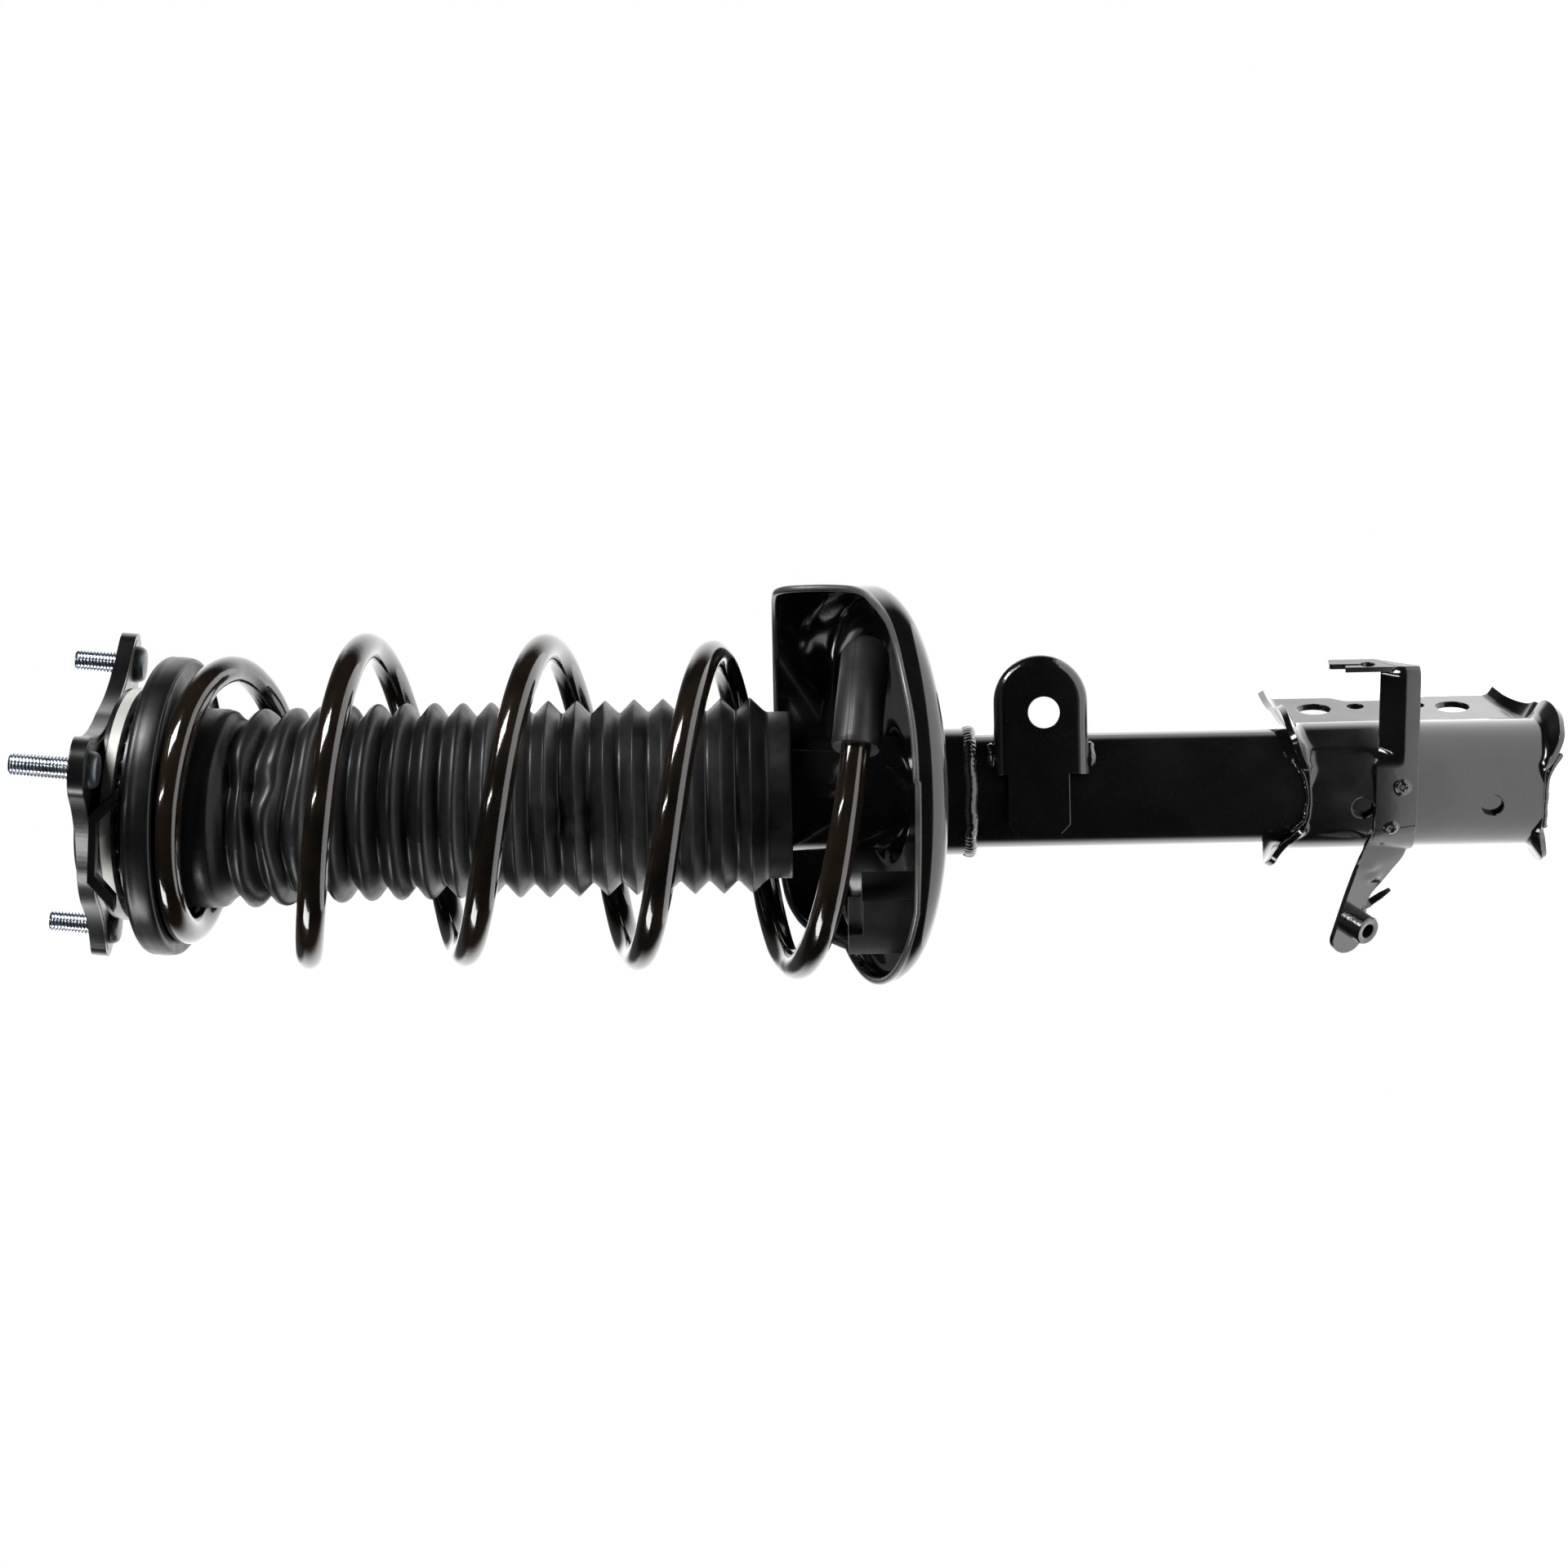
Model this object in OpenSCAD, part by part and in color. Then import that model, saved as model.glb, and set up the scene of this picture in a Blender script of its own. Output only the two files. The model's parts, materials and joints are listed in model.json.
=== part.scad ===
// Front MacPherson strut, assembled: top mount, coil spring, dust boot,
// twin tube damper, stabilizer link tab, knuckle bracket and hose bracket.
//
// Frame: the origin is where the damper rod's axis meets the seating face
// of the top mount. +Z runs up the rod axis, out of the top mount.
// X runs along the knuckle bolts and +Y points to the knuckle.
// Lengths along the strut are given as distances below the origin.

/* [Top mount] */
// Lean of the mount's seating face from square to the rod axis
mount_tilt = 5.7; // [4:0.1:7]
// Heading the mount's normal leans to, from +X round to +Y
mount_tilt_heading = 23; // [10:1:50]
// Lean of the bearing and the upper spring seat from square to the rod axis
bearing_tilt = 8.2; // [6:0.1:9]
// Heading the bearing's normal leans to, from +X round to +Y
bearing_tilt_heading = 77; // [65:1:85]
// Pitch circle diameter of the three mounting studs
stud_pcd = 138; // [130:0.2:142]
// Heading of the long stud, from +X round to +Y
stud_heading = -65; // [-75:1:-55]
// Thread diameter of the studs, over the crests
stud_d = 9.9; // [8:0.1:10]
// How far the long stud stands above the seating face
stud_long = 27.5; // [24:0.5:36]
// How far the two short studs stand above the seating face
stud_short = 20.5; // [18:0.5:28]
// Sheet thickness of the mount plate
plate_t = 2.8; // [2.4:0.1:3.2]
// Corner radius of the plate's three ears
ear_r = 14; // [13:0.5:15]

/* [Spring] */
// Wire diameter of the coil spring
wire_d = 13; // [12:0.1:14]
// Mean radius of the free coils
coil_r = 68.5; // [68:0.1:69]
// Mean radius of the closed coil at the top
top_coil_r = 57; // [56.5:0.5:57.5]
// Depth of the closed coil's wire centre below the seating face
top_coil_z = 45.8; // [45:0.1:46.5]
// Outer radius of the rubber sleeve on the lower end of the wire
sleeve_r = 10.8; // [10:0.1:12]

/* [Damper] */
// Outer diameter of the damper tube
tube_d = 50.8; // [50:0.1:51]
// Wall thickness of the damper tube
tube_wall = 2.4; // [2:0.1:2.8]
// Depth of the damper tube's top end
tube_top = 212; // [204:1:216]
// Depth of the damper tube's closed bottom end
tube_bottom = 644; // [642:1:646]
// Diameter of the piston rod
rod_d = 22; // [20:0.5:22]
// Bore of the inner pressure tube
cylinder_bore = 32; // [30:0.5:34]

/* [Dust boot] */
// Depth of the boot's upper end
boot_top = 48; // [48:1:52]
// Depth of the boot's lower end
boot_bottom = 311.3; // [310:0.1:313]
// Diameter over the pleats
boot_crest_d = 87.5; // [84:0.5:89]
// Diameter in the roots between pleats
boot_root_d = 75.5; // [72:0.5:78]
// Distance from pleat to pleat
boot_pitch = 12.9; // [12.5:0.1:13.2]

/* [Lower spring seat] */
// Outer radius of the pressed steel dish
dish_r = 89.4; // [88:0.2:91]
// Depth at which the pan's underside crosses the tube axis
dish_floor = 356.3; // [355:0.1:358]
// Lean of the pan's normal from the tube axis
dish_tilt = 15.5; // [14:0.5:17]
// Heading the pan's normal leans to, from +X round to +Y
dish_tilt_heading = -75; // [-84:1:-68]
// Sheet thickness of the dish
dish_t = 3; // [2.6:0.1:3.4]
// How far the dish stands off the tube axis, towards the link tab's free end
dish_offset = 4; // [3:0.5:5]

/* [Link tab] */
// Bore for the stabilizer link stud
link_bore_d = 13.9; // [12:0.1:14]
// Depth of that bore along the strut
link_z = 422.8; // [421:0.1:425]
// Distance of that bore from the tube's centre plane
link_out = 34.2; // [33:0.1:36]
// Width over the tab's turned back edges
tab_w = 41.7; // [41:0.1:43]

/* [Knuckle bracket] */
// Bore of the two knuckle bolt holes
knuckle_bore_d = 15.5; // [14:0.1:16]
// Depth of the upper knuckle bolt
bolt_upper = 549.1; // [548:0.1:550]
// Distance between the two knuckle bolts
bolt_spacing = 63; // [62.5:0.1:63.5]
// Distance of the bolts from the tube axis
bolt_out = 45; // [44:0.5:46]
// Clear gap between the two ears
ear_gap = 36; // [35:0.2:37]
// Sheet thickness of the bracket
bracket_t = 2.8; // [2.6:0.1:3]

/* [Hidden] */
$fn = 64;

// Headings round the strut, from +X towards +Y
side_heading = 19;    // the link tab's free end and the dish's offset
front_heading = -71;  // the face the link tab looks out of
eps = 0.01;

// --- Top mount levels, below the seating face, in the mount's own frame
flange_depth = 7;
dome_h = 4.2;
dome_r = 35;
dome_hole_r = 17;
cup_r = 36;
cup_t = 2.5;
cup_depth = 33.8;
race_in = 37;
race_out = 52;
race_r = (race_in + race_out) / 2;
ball_r = 3;
ball_z = 22.3;
seat_top = 28.8;
seat_t = 2.5;
iso_r = 66.5;
iso_bottom = 41.8;
bearing_pivot = 35.3;   // depth on the rod axis about which the bearing leans
spring_offset = 2.5;
doubler_t = 4.4;
pattern_x = 9.5;      // the stud circle's centre from the rod axis
pattern_y = 3.3;

// --- Rod stack, distances from the origin along the rod, up is positive
rod_tip = 3.5;
nut_top = 2;
nut_bottom = -7.5;
washer_bottom = -10;
shoulder = -36;
stud_neck_r = 7;
sleeve_out_r = 12;
bump_cup_h = 6;
bump_len = 50;
rod_bottom = -276;

tube_r = tube_d / 2;
tube_in = tube_r - tube_wall;
rod_r = rod_d / 2;
bore_r = cylinder_bore / 2;
wire_r = wire_d / 2;

// Leans its children towards a heading
module lean(angle, heading) {
  rotate([0, 0, heading]) rotate([0, angle, 0]) rotate([0, 0, -heading]) children();
}

module mount_frame() {
  lean(mount_tilt, mount_tilt_heading) children();
}

module bearing_frame() {
  translate([0, 0, -bearing_pivot]) lean(bearing_tilt, bearing_tilt_heading)
    translate([0, 0, bearing_pivot]) children();
}

// The closed coil stands a little off the bearing's centre
module spring_place() {
  translate([spring_offset * cos(side_heading), spring_offset * sin(side_heading), 0]) children();
}

// Ring with a rectangular section, from depth z1 up to z0
module ring(r_in, r_out, z_low, z_high) {
  difference() {
    translate([0, 0, z_low]) cylinder(r = r_out, h = z_high - z_low);
    translate([0, 0, z_low - 1]) cylinder(r = r_in, h = z_high - z_low + 2);
  }
}

// Torus segment for weld beads: a round bead of radius b at radius r
module bead(r, b) {
  rotate_extrude() translate([r, 0]) circle(r = b);
}

// ---------------------------------------------------------------- top mount
function stud_angle(i) = stud_heading + 120 * i;
function stud_height(i) = i == 0 ? stud_long : stud_short;

module at_stud(i) {
  translate([pattern_x, pattern_y, 0])
    rotate([0, 0, stud_angle(i)])
      translate([stud_pcd / 2, 0, 0])
        children();
}

module plate_outline() {
  offset(r = -90, $fn = 200) offset(r = 90, $fn = 200) {
    circle(r = dome_r + 11);
    for (i = [0:2]) {
      translate([pattern_x, pattern_y])
        rotate(stud_angle(i))
          translate([stud_pcd / 2, 0]) circle(r = ear_r);
      polygon([
        for (s = [-1, 1]) [pattern_x, pattern_y] + (stud_pcd / 2) *
          [cos(stud_angle(i)), sin(stud_angle(i))] + s * ear_r *
          [-sin(stud_angle(i)), cos(stud_angle(i))],
        [0, 0] + 30 * [cos(stud_angle(i) + 90), sin(stud_angle(i) + 90)],
        [0, 0] + 30 * [cos(stud_angle(i) - 90), sin(stud_angle(i) - 90)]
      ]);
    }
  }
}

module stud_holes(d) {
  for (i = [0:2]) at_stud(i) translate([0, 0, -20]) cylinder(d = d, h = 30);
}

module mount_plate() {
  color("#17181a") mount_frame() difference() {
    union() {
      translate([0, 0, -plate_t]) linear_extrude(plate_t) plate_outline();
      translate([0, 0, -flange_depth]) linear_extrude(flange_depth - plate_t + eps)
        difference() {
          plate_outline();
          offset(delta = -plate_t) plate_outline();
        }
      rotate_extrude() polygon(concat(
        [[dome_hole_r, -plate_t], [dome_r, -plate_t], [dome_r, 0]],
        [for (a = [10:10:90]) [dome_r - 6 + 6 * cos(a), dome_h * sin(a)]],
        [[dome_hole_r, dome_h]]));
    }
    rotate_extrude() polygon([[0, -plate_t - 1], [dome_r - 4, -plate_t - 1],
      [dome_r - 4, -plate_t + 0.5], [dome_r - 8, dome_h - plate_t],
      [dome_hole_r, dome_h - plate_t], [dome_hole_r, dome_h + 1], [0, dome_h + 1]]);
    stud_holes(stud_d + 1);
  }
}

// Second sheet nested inside the plate's turned edge
module mount_doubler() {
  gap = plate_t + 0.05;
  color("#1a1b1d") mount_frame() difference() {
    translate([0, 0, -plate_t - doubler_t]) linear_extrude(doubler_t)
      offset(delta = -gap) plate_outline();
    stud_holes(stud_d + 1);
    lean(-mount_tilt, mount_tilt_heading) bearing_frame()
      translate([0, 0, -40]) cylinder(r = cup_r + 0.02, h = 60);
  }
}

module mount_studs() {
  head_h = 4.6;
  head_r = 8.3;
  grip = plate_t + doubler_t;
  color("#c9ced6") mount_frame() for (i = [0:2]) at_stud(i) {
    translate([0, 0, -grip]) cylinder(d = stud_d + 1, h = grip);
    translate([0, 0, -eps]) cylinder(d = stud_d, h = stud_height(i) - 1 + eps);
    translate([0, 0, stud_height(i) - 1]) cylinder(r1 = stud_d / 2, r2 = stud_d / 2 - 1, h = 1);
    translate([0, 0, -grip - head_h]) rotate_extrude() polygon(concat(
      [[0, head_h], [head_r, head_h], [head_r, 1.6]],
      [for (a = [0:15:90]) [head_r - 2.2 + 2.2 * cos(a), 1.6 - 1.6 * sin(a)]],
      [[0, 0]]));
  }
}

// Cup under the plate: holds the rubber and, on its ledge, the bearing
module mount_cup() {
  color("#1b1c1e") difference() {
    bearing_frame() rotate_extrude() polygon([
      [cup_r - cup_t, 8], [cup_r, 8], [cup_r, -13.3], [race_out - 0.5, -13.3],
      [race_out - 0.5, -15.8], [cup_r, -15.8], [cup_r, -cup_depth], [24, -cup_depth],
      [24, -cup_depth + cup_t], [cup_r - cup_t, -cup_depth + cup_t]]);
    mount_frame() translate([0, 0, -plate_t]) cylinder(r = 80, h = 30);
  }
}

module mount_rubber() {
  color("#26272a") difference() {
    bearing_frame() rotate_extrude() polygon([
      [0, -cup_depth + cup_t], [cup_r - cup_t, -cup_depth + cup_t], [cup_r - cup_t, -13],
      [26, -10], [19, -12], [0, -12]]);
    translate([0, 0, -60]) cylinder(r = sleeve_out_r + 0.3, h = 90);
    translate([0, 0, washer_bottom - 1.5]) cylinder(r = 18.5, h = 30);
  }
}

// Pressed bridge on the plate's front edge
module strap_bracket() {
  strap_in = 52.4;
  strap_out = 59;
  strap_w = 56;
  strap_top = 7.3;
  strap_drop = 19.5;
  slope = 12.5;
  bar = 3.3;
  color("#1d1e20") mount_frame() rotate([0, 0, -88])
    translate([strap_in, 0, 0]) rotate([90, 0, 90]) linear_extrude(strap_out - strap_in)
      difference() {
        polygon([[-strap_w / 2, -strap_drop], [-strap_w / 2 + slope, -strap_top],
          [strap_w / 2 - slope, -strap_top], [strap_w / 2, -strap_drop]]);
        polygon([[-strap_w / 2 + bar + 2, -strap_drop - 1],
          [-strap_w / 2 + slope + bar, -strap_top - bar],
          [strap_w / 2 - slope - bar, -strap_top - bar],
          [strap_w / 2 - bar - 2, -strap_drop - 1]]);
      }
}

// ------------------------------------------------------------------ bearing
module race_groove() {
  translate([0, 0, -ball_z]) rotate_extrude() translate([race_r, 0])
    circle(r = ball_r + 0.06);
}

module bearing_upper_race() {
  color("#55585d") bearing_frame() difference() {
    ring(race_in, race_out, -20.8, -15.85);
    race_groove();
  }
}

module bearing_lower_race() {
  color("#55585d") bearing_frame() difference() {
    ring(race_in, race_out, -seat_top, -23.8);
    race_groove();
  }
}

module bearing_balls() {
  ball_count = 30;
  color("#b9bcc2") bearing_frame() for (i = [0:ball_count - 1])
    rotate([0, 0, i * 360 / ball_count]) translate([race_r, 0, -ball_z]) sphere(r = ball_r);
}

// --------------------------------------------------------- upper spring seat
module upper_spring_seat() {
  seat_in = race_in + 1;
  color("#141517") bearing_frame() rotate_extrude() polygon([
    [seat_in, -seat_top], [race_out + 4, -seat_top], [race_out + 9, -seat_top - 3],
    [iso_r - 3.5, -seat_top - 3], [iso_r - 3.5, -seat_top - 3 - seat_t],
    [race_out + 8, -seat_top - 3 - seat_t], [race_out + 3, -seat_top - seat_t],
    [seat_in, -seat_top - seat_t]]);
}

module upper_isolator() {
  rim = iso_r - 3.5;
  color("#1c1d1f") bearing_frame() difference() {
    rotate_extrude() polygon(concat(
      [[46, -seat_top - seat_t], [race_out + 3, -seat_top - seat_t],
        [race_out + 8, -seat_top - 3 - seat_t], [rim, -seat_top - 3 - seat_t],
        [rim, -seat_top - 3], [race_out + 9, -seat_top - 3],
        [race_out + 5, -seat_top - 0.6], [race_out + 5, -seat_top + 0.3],
        [rim, -seat_top + 0.3]],
      [for (a = [75:-15:0]) [rim + 3.5 * cos(a), -seat_top - 3.2 + 3.5 * sin(a)]],
      [[iso_r, -iso_bottom + 3], [iso_r - 2, -iso_bottom], [46, -iso_bottom]]));
    spring_place() translate([0, 0, -top_coil_z]) rotate_extrude() translate([top_coil_r, 0])
      circle(r = wire_r + 0.35);
  }
}

// -------------------------------------------------------------- coil spring
// Winding angle is counted from the front heading; the wire descends as it
// grows. Each pair is [winding angle, depth of the wire's centre].
wire_start = -195;
wire_end = 1505;
rise = [[0, 45.8], [90, 55], [135, 72], [180, 82], [270, 97.8], [450, 121.8],
  [630, 163.6], [810, 203.8], [990, 240.2], [1170, 278.5], [1350, 308.4],
  [1405, 328.3], [1443, 338.6], [1505, 344.8], [1700, 359.8]];
// How far the coils' centres drift towards the side heading
drift = [[0, 2.5], [200, 2.5], [450, 1.3], [810, -0.5], [1170, -4.9], [1507, -6]];
// How much of the bearing's lean the winding still has
lean_share = [[0, 1], [180, 0.6], [450, 0], [2000, 0]];

function smooth_lookup(a, table) =
  (lookup(a - 50, table) + lookup(a - 25, table) + lookup(a, table)
    + lookup(a + 25, table) + lookup(a + 50, table)) / 5;
function wire_radius_at(a) =
  a < 0 ? top_coil_r
  : a < 300 ? top_coil_r + (coil_r - top_coil_r) * (1 - cos(a * 0.6)) / 2
  : a < 1170 ? coil_r
  : coil_r + 2.5 * (1 - cos(min(a - 1170, 180))) / 2;
// Vector v leaned by an angle towards the bearing's heading
function leaned(v, angle) =
  let (k = [-sin(bearing_tilt_heading), cos(bearing_tilt_heading), 0])
    v * cos(angle) + cross(k, v) * sin(angle) + k * (k * v) * (1 - cos(angle));
function wire_point(a) =
  let (
    heading = front_heading + a,
    r = wire_radius_at(a),
    s = smooth_lookup(a, drift),
    depth = max(top_coil_z, smooth_lookup(a, rise)),
    v = [r * cos(heading) + s * cos(side_heading), r * sin(heading) + s * sin(side_heading),
      bearing_pivot - depth]
  ) leaned(v, lookup(a, lean_share) * bearing_tilt) - [0, 0, bearing_pivot];

function unit(v) = v / norm(v);

// Round wire swept along wire_point from angle a0 to a1
module wire(a0, a1, r, steps, sides = 10) {
  rings = [for (i = [0:steps])
    let (
      a = a0 + (a1 - a0) * i / steps,
      p = wire_point(a),
      t = unit(wire_point(a + 0.5) - wire_point(a - 0.5)),
      u = unit(cross(t, [0, 0, 1])),
      v = cross(u, t)
    ) for (k = [0:sides - 1]) p + r * (cos(360 * k / sides) * u + sin(360 * k / sides) * v)];
  skin = [for (i = [0:steps - 1]) for (k = [0:sides - 1])
    [i * sides + k, i * sides + (k + 1) % sides, (i + 1) * sides + (k + 1) % sides,
      (i + 1) * sides + k]];
  tris = [for (q = skin) each [[q[0], q[1], q[2]], [q[0], q[2], q[3]]]];
  ends = [for (k = [1:sides - 2]) each [[0, k + 1, k],
    [steps * sides, steps * sides + k, steps * sides + k + 1]]];
  polyhedron(points = rings, faces = concat(ends, tris));
}

sleeve_start = 1461;
sleeve_end = 1509;

module coil_spring() {
  color("#101113") wire(wire_start, wire_end, wire_r, 110);
}

module spring_sleeve() {
  color("#2a2b2e") difference() {
    wire(sleeve_start, sleeve_end, sleeve_r, 10, 16);
    wire(sleeve_start - 6, wire_end + 0.8, wire_r + 0.95, 10, 16);
  }
}

// ---------------------------------------------------------------- dust boot
module dust_boot() {
  boot_t = 1.6;
  cuff_end = 76;
  crest_r = boot_crest_d / 2;
  root_r = boot_root_d / 2;
  collar_top = 299.6;
  collar_r = 37.2;
  pleats = floor((collar_top - cuff_end) / boot_pitch);
  first = collar_top - pleats * boot_pitch;
  outer = concat(
    [[44.5, -boot_top], [44.5, -cuff_end + 6], [root_r, -first]],
    [for (i = [0:pleats - 1]) each [
      [crest_r, -first - (i + 0.5) * boot_pitch], [root_r, -first - (i + 1) * boot_pitch]]],
    [[collar_r, -collar_top - 1], [collar_r, -boot_bottom]]);
  n = len(outer);
  color("#202124") rotate_extrude() polygon(concat(outer,
    [for (i = [n - 1:-1:0]) [outer[i][0] - boot_t, outer[i][1]]]));
}

// ---------------------------------------------------------------- rod group
module inner_sleeve() {
  color("#6d7076") ring(stud_neck_r + 0.02, sleeve_out_r, shoulder, washer_bottom);
}

module rod_washer() {
  color("#9a9da3") ring(stud_neck_r + 0.1, 16, washer_bottom, nut_bottom);
}

module rod_nut() {
  hex_r = 12.7;
  color("#b8bbc0") difference() {
    translate([0, 0, nut_bottom]) intersection() {
      cylinder(r = hex_r, h = nut_top - nut_bottom, $fn = 6);
      cylinder(r1 = hex_r + 3, r2 = hex_r - 0.6, h = nut_top - nut_bottom);
    }
    translate([0, 0, nut_bottom - 1]) cylinder(r = stud_neck_r + 0.01, h = 20);
  }
}

module bump_cup() {
  cup_out = 22;
  color("#3a3c40") difference() {
    translate([0, 0, shoulder - bump_cup_h]) cylinder(r = cup_out, h = bump_cup_h);
    translate([0, 0, shoulder - bump_cup_h - 1]) cylinder(r = cup_out - 2, h = bump_cup_h - 1);
    translate([0, 0, -60]) cylinder(r = stud_neck_r + 0.02, h = 60);
  }
}

module piston_rod() {
  color("#d5d8dc") difference() {
    union() {
      translate([0, 0, shoulder - 2]) cylinder(r = stud_neck_r, h = rod_tip - shoulder + 2);
      translate([0, 0, rod_bottom + 16]) cylinder(r = rod_r, h = shoulder - 2 - rod_bottom - 16);
      translate([0, 0, rod_bottom - 14]) cylinder(r = 6, h = 30 + eps);
    }
    translate([0, 0, rod_tip - 7]) cylinder(r = 3.46, h = 8, $fn = 6);
  }
}

module bump_stop() {
  top = shoulder - 2;
  groove = bump_len / 3;
  color("#c8b98a") rotate_extrude() polygon([
    [rod_r + 0.4, top], [19.5, top], [19.5, top - groove + 4], [17, top - groove],
    [19.5, top - groove - 4], [20, top - 2 * groove + 4], [16, top - 2 * groove],
    [19, top - 2 * groove - 4], [17, top - bump_len], [rod_r + 0.4, top - bump_len]]);
}

module rebound_stop() {
  color("#2d2e31") ring(rod_r, bore_r - 1, rod_bottom + 22, rod_bottom + 30);
}

module piston() {
  color("#7d8086") difference() {
    ring(6, bore_r - 0.3, rod_bottom, rod_bottom + 16);
    ring(bore_r - 1.6, bore_r + 1, rod_bottom + 4, rod_bottom + 12);
    for (a = [0:60:300]) rotate([0, 0, a]) translate([10.5, 0, rod_bottom - 1])
      cylinder(r = 1.6, h = 18);
  }
}

module piston_ring() {
  color("#3b2f28") ring(bore_r - 1.6, bore_r - 0.06, rod_bottom + 4, rod_bottom + 12);
}

module piston_nut() {
  color("#a6a9ae") difference() {
    translate([0, 0, rod_bottom - 8]) cylinder(r = 10, h = 8, $fn = 6);
    translate([0, 0, rod_bottom - 9]) cylinder(r = 6.01, h = 12);
  }
}

// -------------------------------------------------------------- damper tube
cap_h = 8;

module damper_tube() {
  color("#0f1012") ring(tube_in, tube_r, -tube_bottom + 4, -tube_top);
}

module base_cap() {
  color("#0f1012") translate([0, 0, -tube_bottom]) rotate_extrude() polygon([
    [0, 0], [tube_in - 6, 0], [tube_in - 2, 1.2], [tube_r - 0.4, 4], [tube_in, 4],
    [tube_in, 14], [tube_in - 3, 14], [tube_in - 3, 6], [tube_in - 8, 3.4], [0, 3.4]]);
}

module rod_guide() {
  color("#6a6c70") difference() {
    union() {
      ring(rod_r + 0.05, tube_in - 0.02, -tube_top - 22, -tube_top - 10);
      ring(rod_r + 0.05, bore_r - 0.02, -tube_top - 32, -tube_top - 22 + eps);
    }
    for (a = [0:90:270]) rotate([0, 0, a]) translate([19.4, 0, -tube_top - 40])
      cylinder(r = 1.5, h = 40);
  }
}

module rod_seal() {
  color("#1a1a1c") ring(rod_r + 0.03, tube_in - 0.02, -tube_top - 10, -tube_top - 3);
}

module top_cap() {
  color("#1b1c1e") rotate_extrude() polygon([
    [rod_r + 1, -tube_top], [tube_in - 1, -tube_top], [tube_in - 1, -tube_top + 1],
    [tube_r + 1.5, -tube_top + 1], [tube_r + 1.5, -tube_top - 9], [tube_r, -tube_top - 9],
    [tube_r, -tube_top], [tube_in, -tube_top], [tube_in, -tube_top - 3],
    [rod_r + 1, -tube_top - 3]]);
}

module pressure_tube() {
  color("#8b8e93") ring(bore_r, bore_r + 1.5, -tube_bottom + 24, -tube_top - 22);
}

module base_valve() {
  color("#74777c") difference() {
    union() {
      translate([0, 0, -tube_bottom + 14]) cylinder(r = tube_in - 3.2, h = 10);
      translate([0, 0, -tube_bottom + 24 - eps]) cylinder(r = bore_r - 0.02, h = 8);
    }
    for (a = [0:60:300]) rotate([0, 0, a]) translate([10, 0, -tube_bottom])
      cylinder(r = 2, h = 60);
  }
}

// -------------------------------------------------------- lower spring seat
collar_bottom = 390.3;

module dish_place() {
  translate([dish_offset * cos(side_heading), dish_offset * sin(side_heading), 0]) children();
}

// The pan's own frame: z square to its floor, 0 on the floor's underside
module pan_frame() {
  dish_place() translate([0, 0, -dish_floor])
    rotate([0, 0, dish_tilt_heading]) rotate([0, dish_tilt, 0])
      rotate([0, 0, -dish_tilt_heading]) children();
}

// The rim's two halves, seen along the side heading: x runs to the front and
// y up the strut. Everything above the line is cut away.
rim_upper = [[120, -364.8], [88, -364.8], [76, -360.3], [54, -355.1], [35, -347.8],
  [27, -345.7], [15, -339.8], [5, -325.8], [-3, -310.5], [-12, -306], [-25, -305.2]];
rim_lower = [[120, -365.3], [88, -365.3], [49, -363.8], [15, -361.3], [0, -358.1],
  [-27, -352.1], [-39, -347.4], [-45, -339.8], [-50, -331.4], [-60, -316.3],
  [-70, -309.3], [-84, -305.2]];

module rim_cut(line) {
  rotate([90, 0, 0]) linear_extrude(120)
    polygon(concat(line, [[-140, -305.2], [-140, -200], [120, -200]]));
}

// Upright round can with a leaning floor, its lower edge rounded off
module pan_solid(r, corner) {
  floor_r = r / cos(dish_tilt) + 0.6;
  intersection() {
    dish_place() translate([0, 0, -400]) cylinder(r = r, h = 200);
    pan_frame() rotate_extrude() polygon(concat(
      [[0, 0]],
      [for (a = [-90:15:0]) [floor_r - corner + corner * cos(a), corner + corner * sin(a)]],
      [[floor_r, 160], [0, 160]]));
  }
}

module lower_spring_seat() {
  color("#0f1012") difference() {
    union() {
      difference() {
        pan_solid(dish_r, 9);
        lean(dish_tilt, dish_tilt_heading) translate([0, 0, dish_t])
          lean(-dish_tilt, dish_tilt_heading) pan_solid(dish_r - dish_t, 6.5);
        dish_place() rotate([0, 0, front_heading]) {
          mirror([0, 1, 0]) rim_cut(rim_upper);
          rim_cut(rim_lower);
        }
      }
      translate([0, 0, -collar_bottom]) cylinder(r = tube_r + dish_t, h = collar_bottom - 349);
    }
    translate([0, 0, -collar_bottom - 10]) cylinder(r = tube_r, h = 200);
  }
}

module seat_weld() {
  color("#131416") translate([0, 0, -collar_bottom]) difference() {
    bead(tube_r + 1.2, 2.6);
    cylinder(r = tube_r, h = 20, center = true);
    translate([0, 0, -0.02]) cylinder(r = tube_r + dish_t + 0.02, h = 20);
  }
}

// Rubber block on the pan's floor that carries the last coil in two steps
module lower_isolator() {
  steps = [[-63, -51, 334.8], [-51, -36, 340.8]];
  color("#242528") difference() {
    for (s = steps)
      rotate([0, 0, front_heading + s[0]])
        rotate_extrude(angle = s[1] - s[0])
          polygon([[58, -400], [79, -400], [79, -s[2]], [58, -s[2]]]);
    pan_frame() translate([0, 0, dish_t - 200]) cylinder(r = 200, h = 200);
  }
}

// ----------------------------------------------------------------- link tab
tab_face = 28;
tab_t = 3;
tab_bend = 5;
tab_depth = 14;
tongue_w = 27;
tab_x = -1.2;
tongue_x = -2.6;

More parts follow.
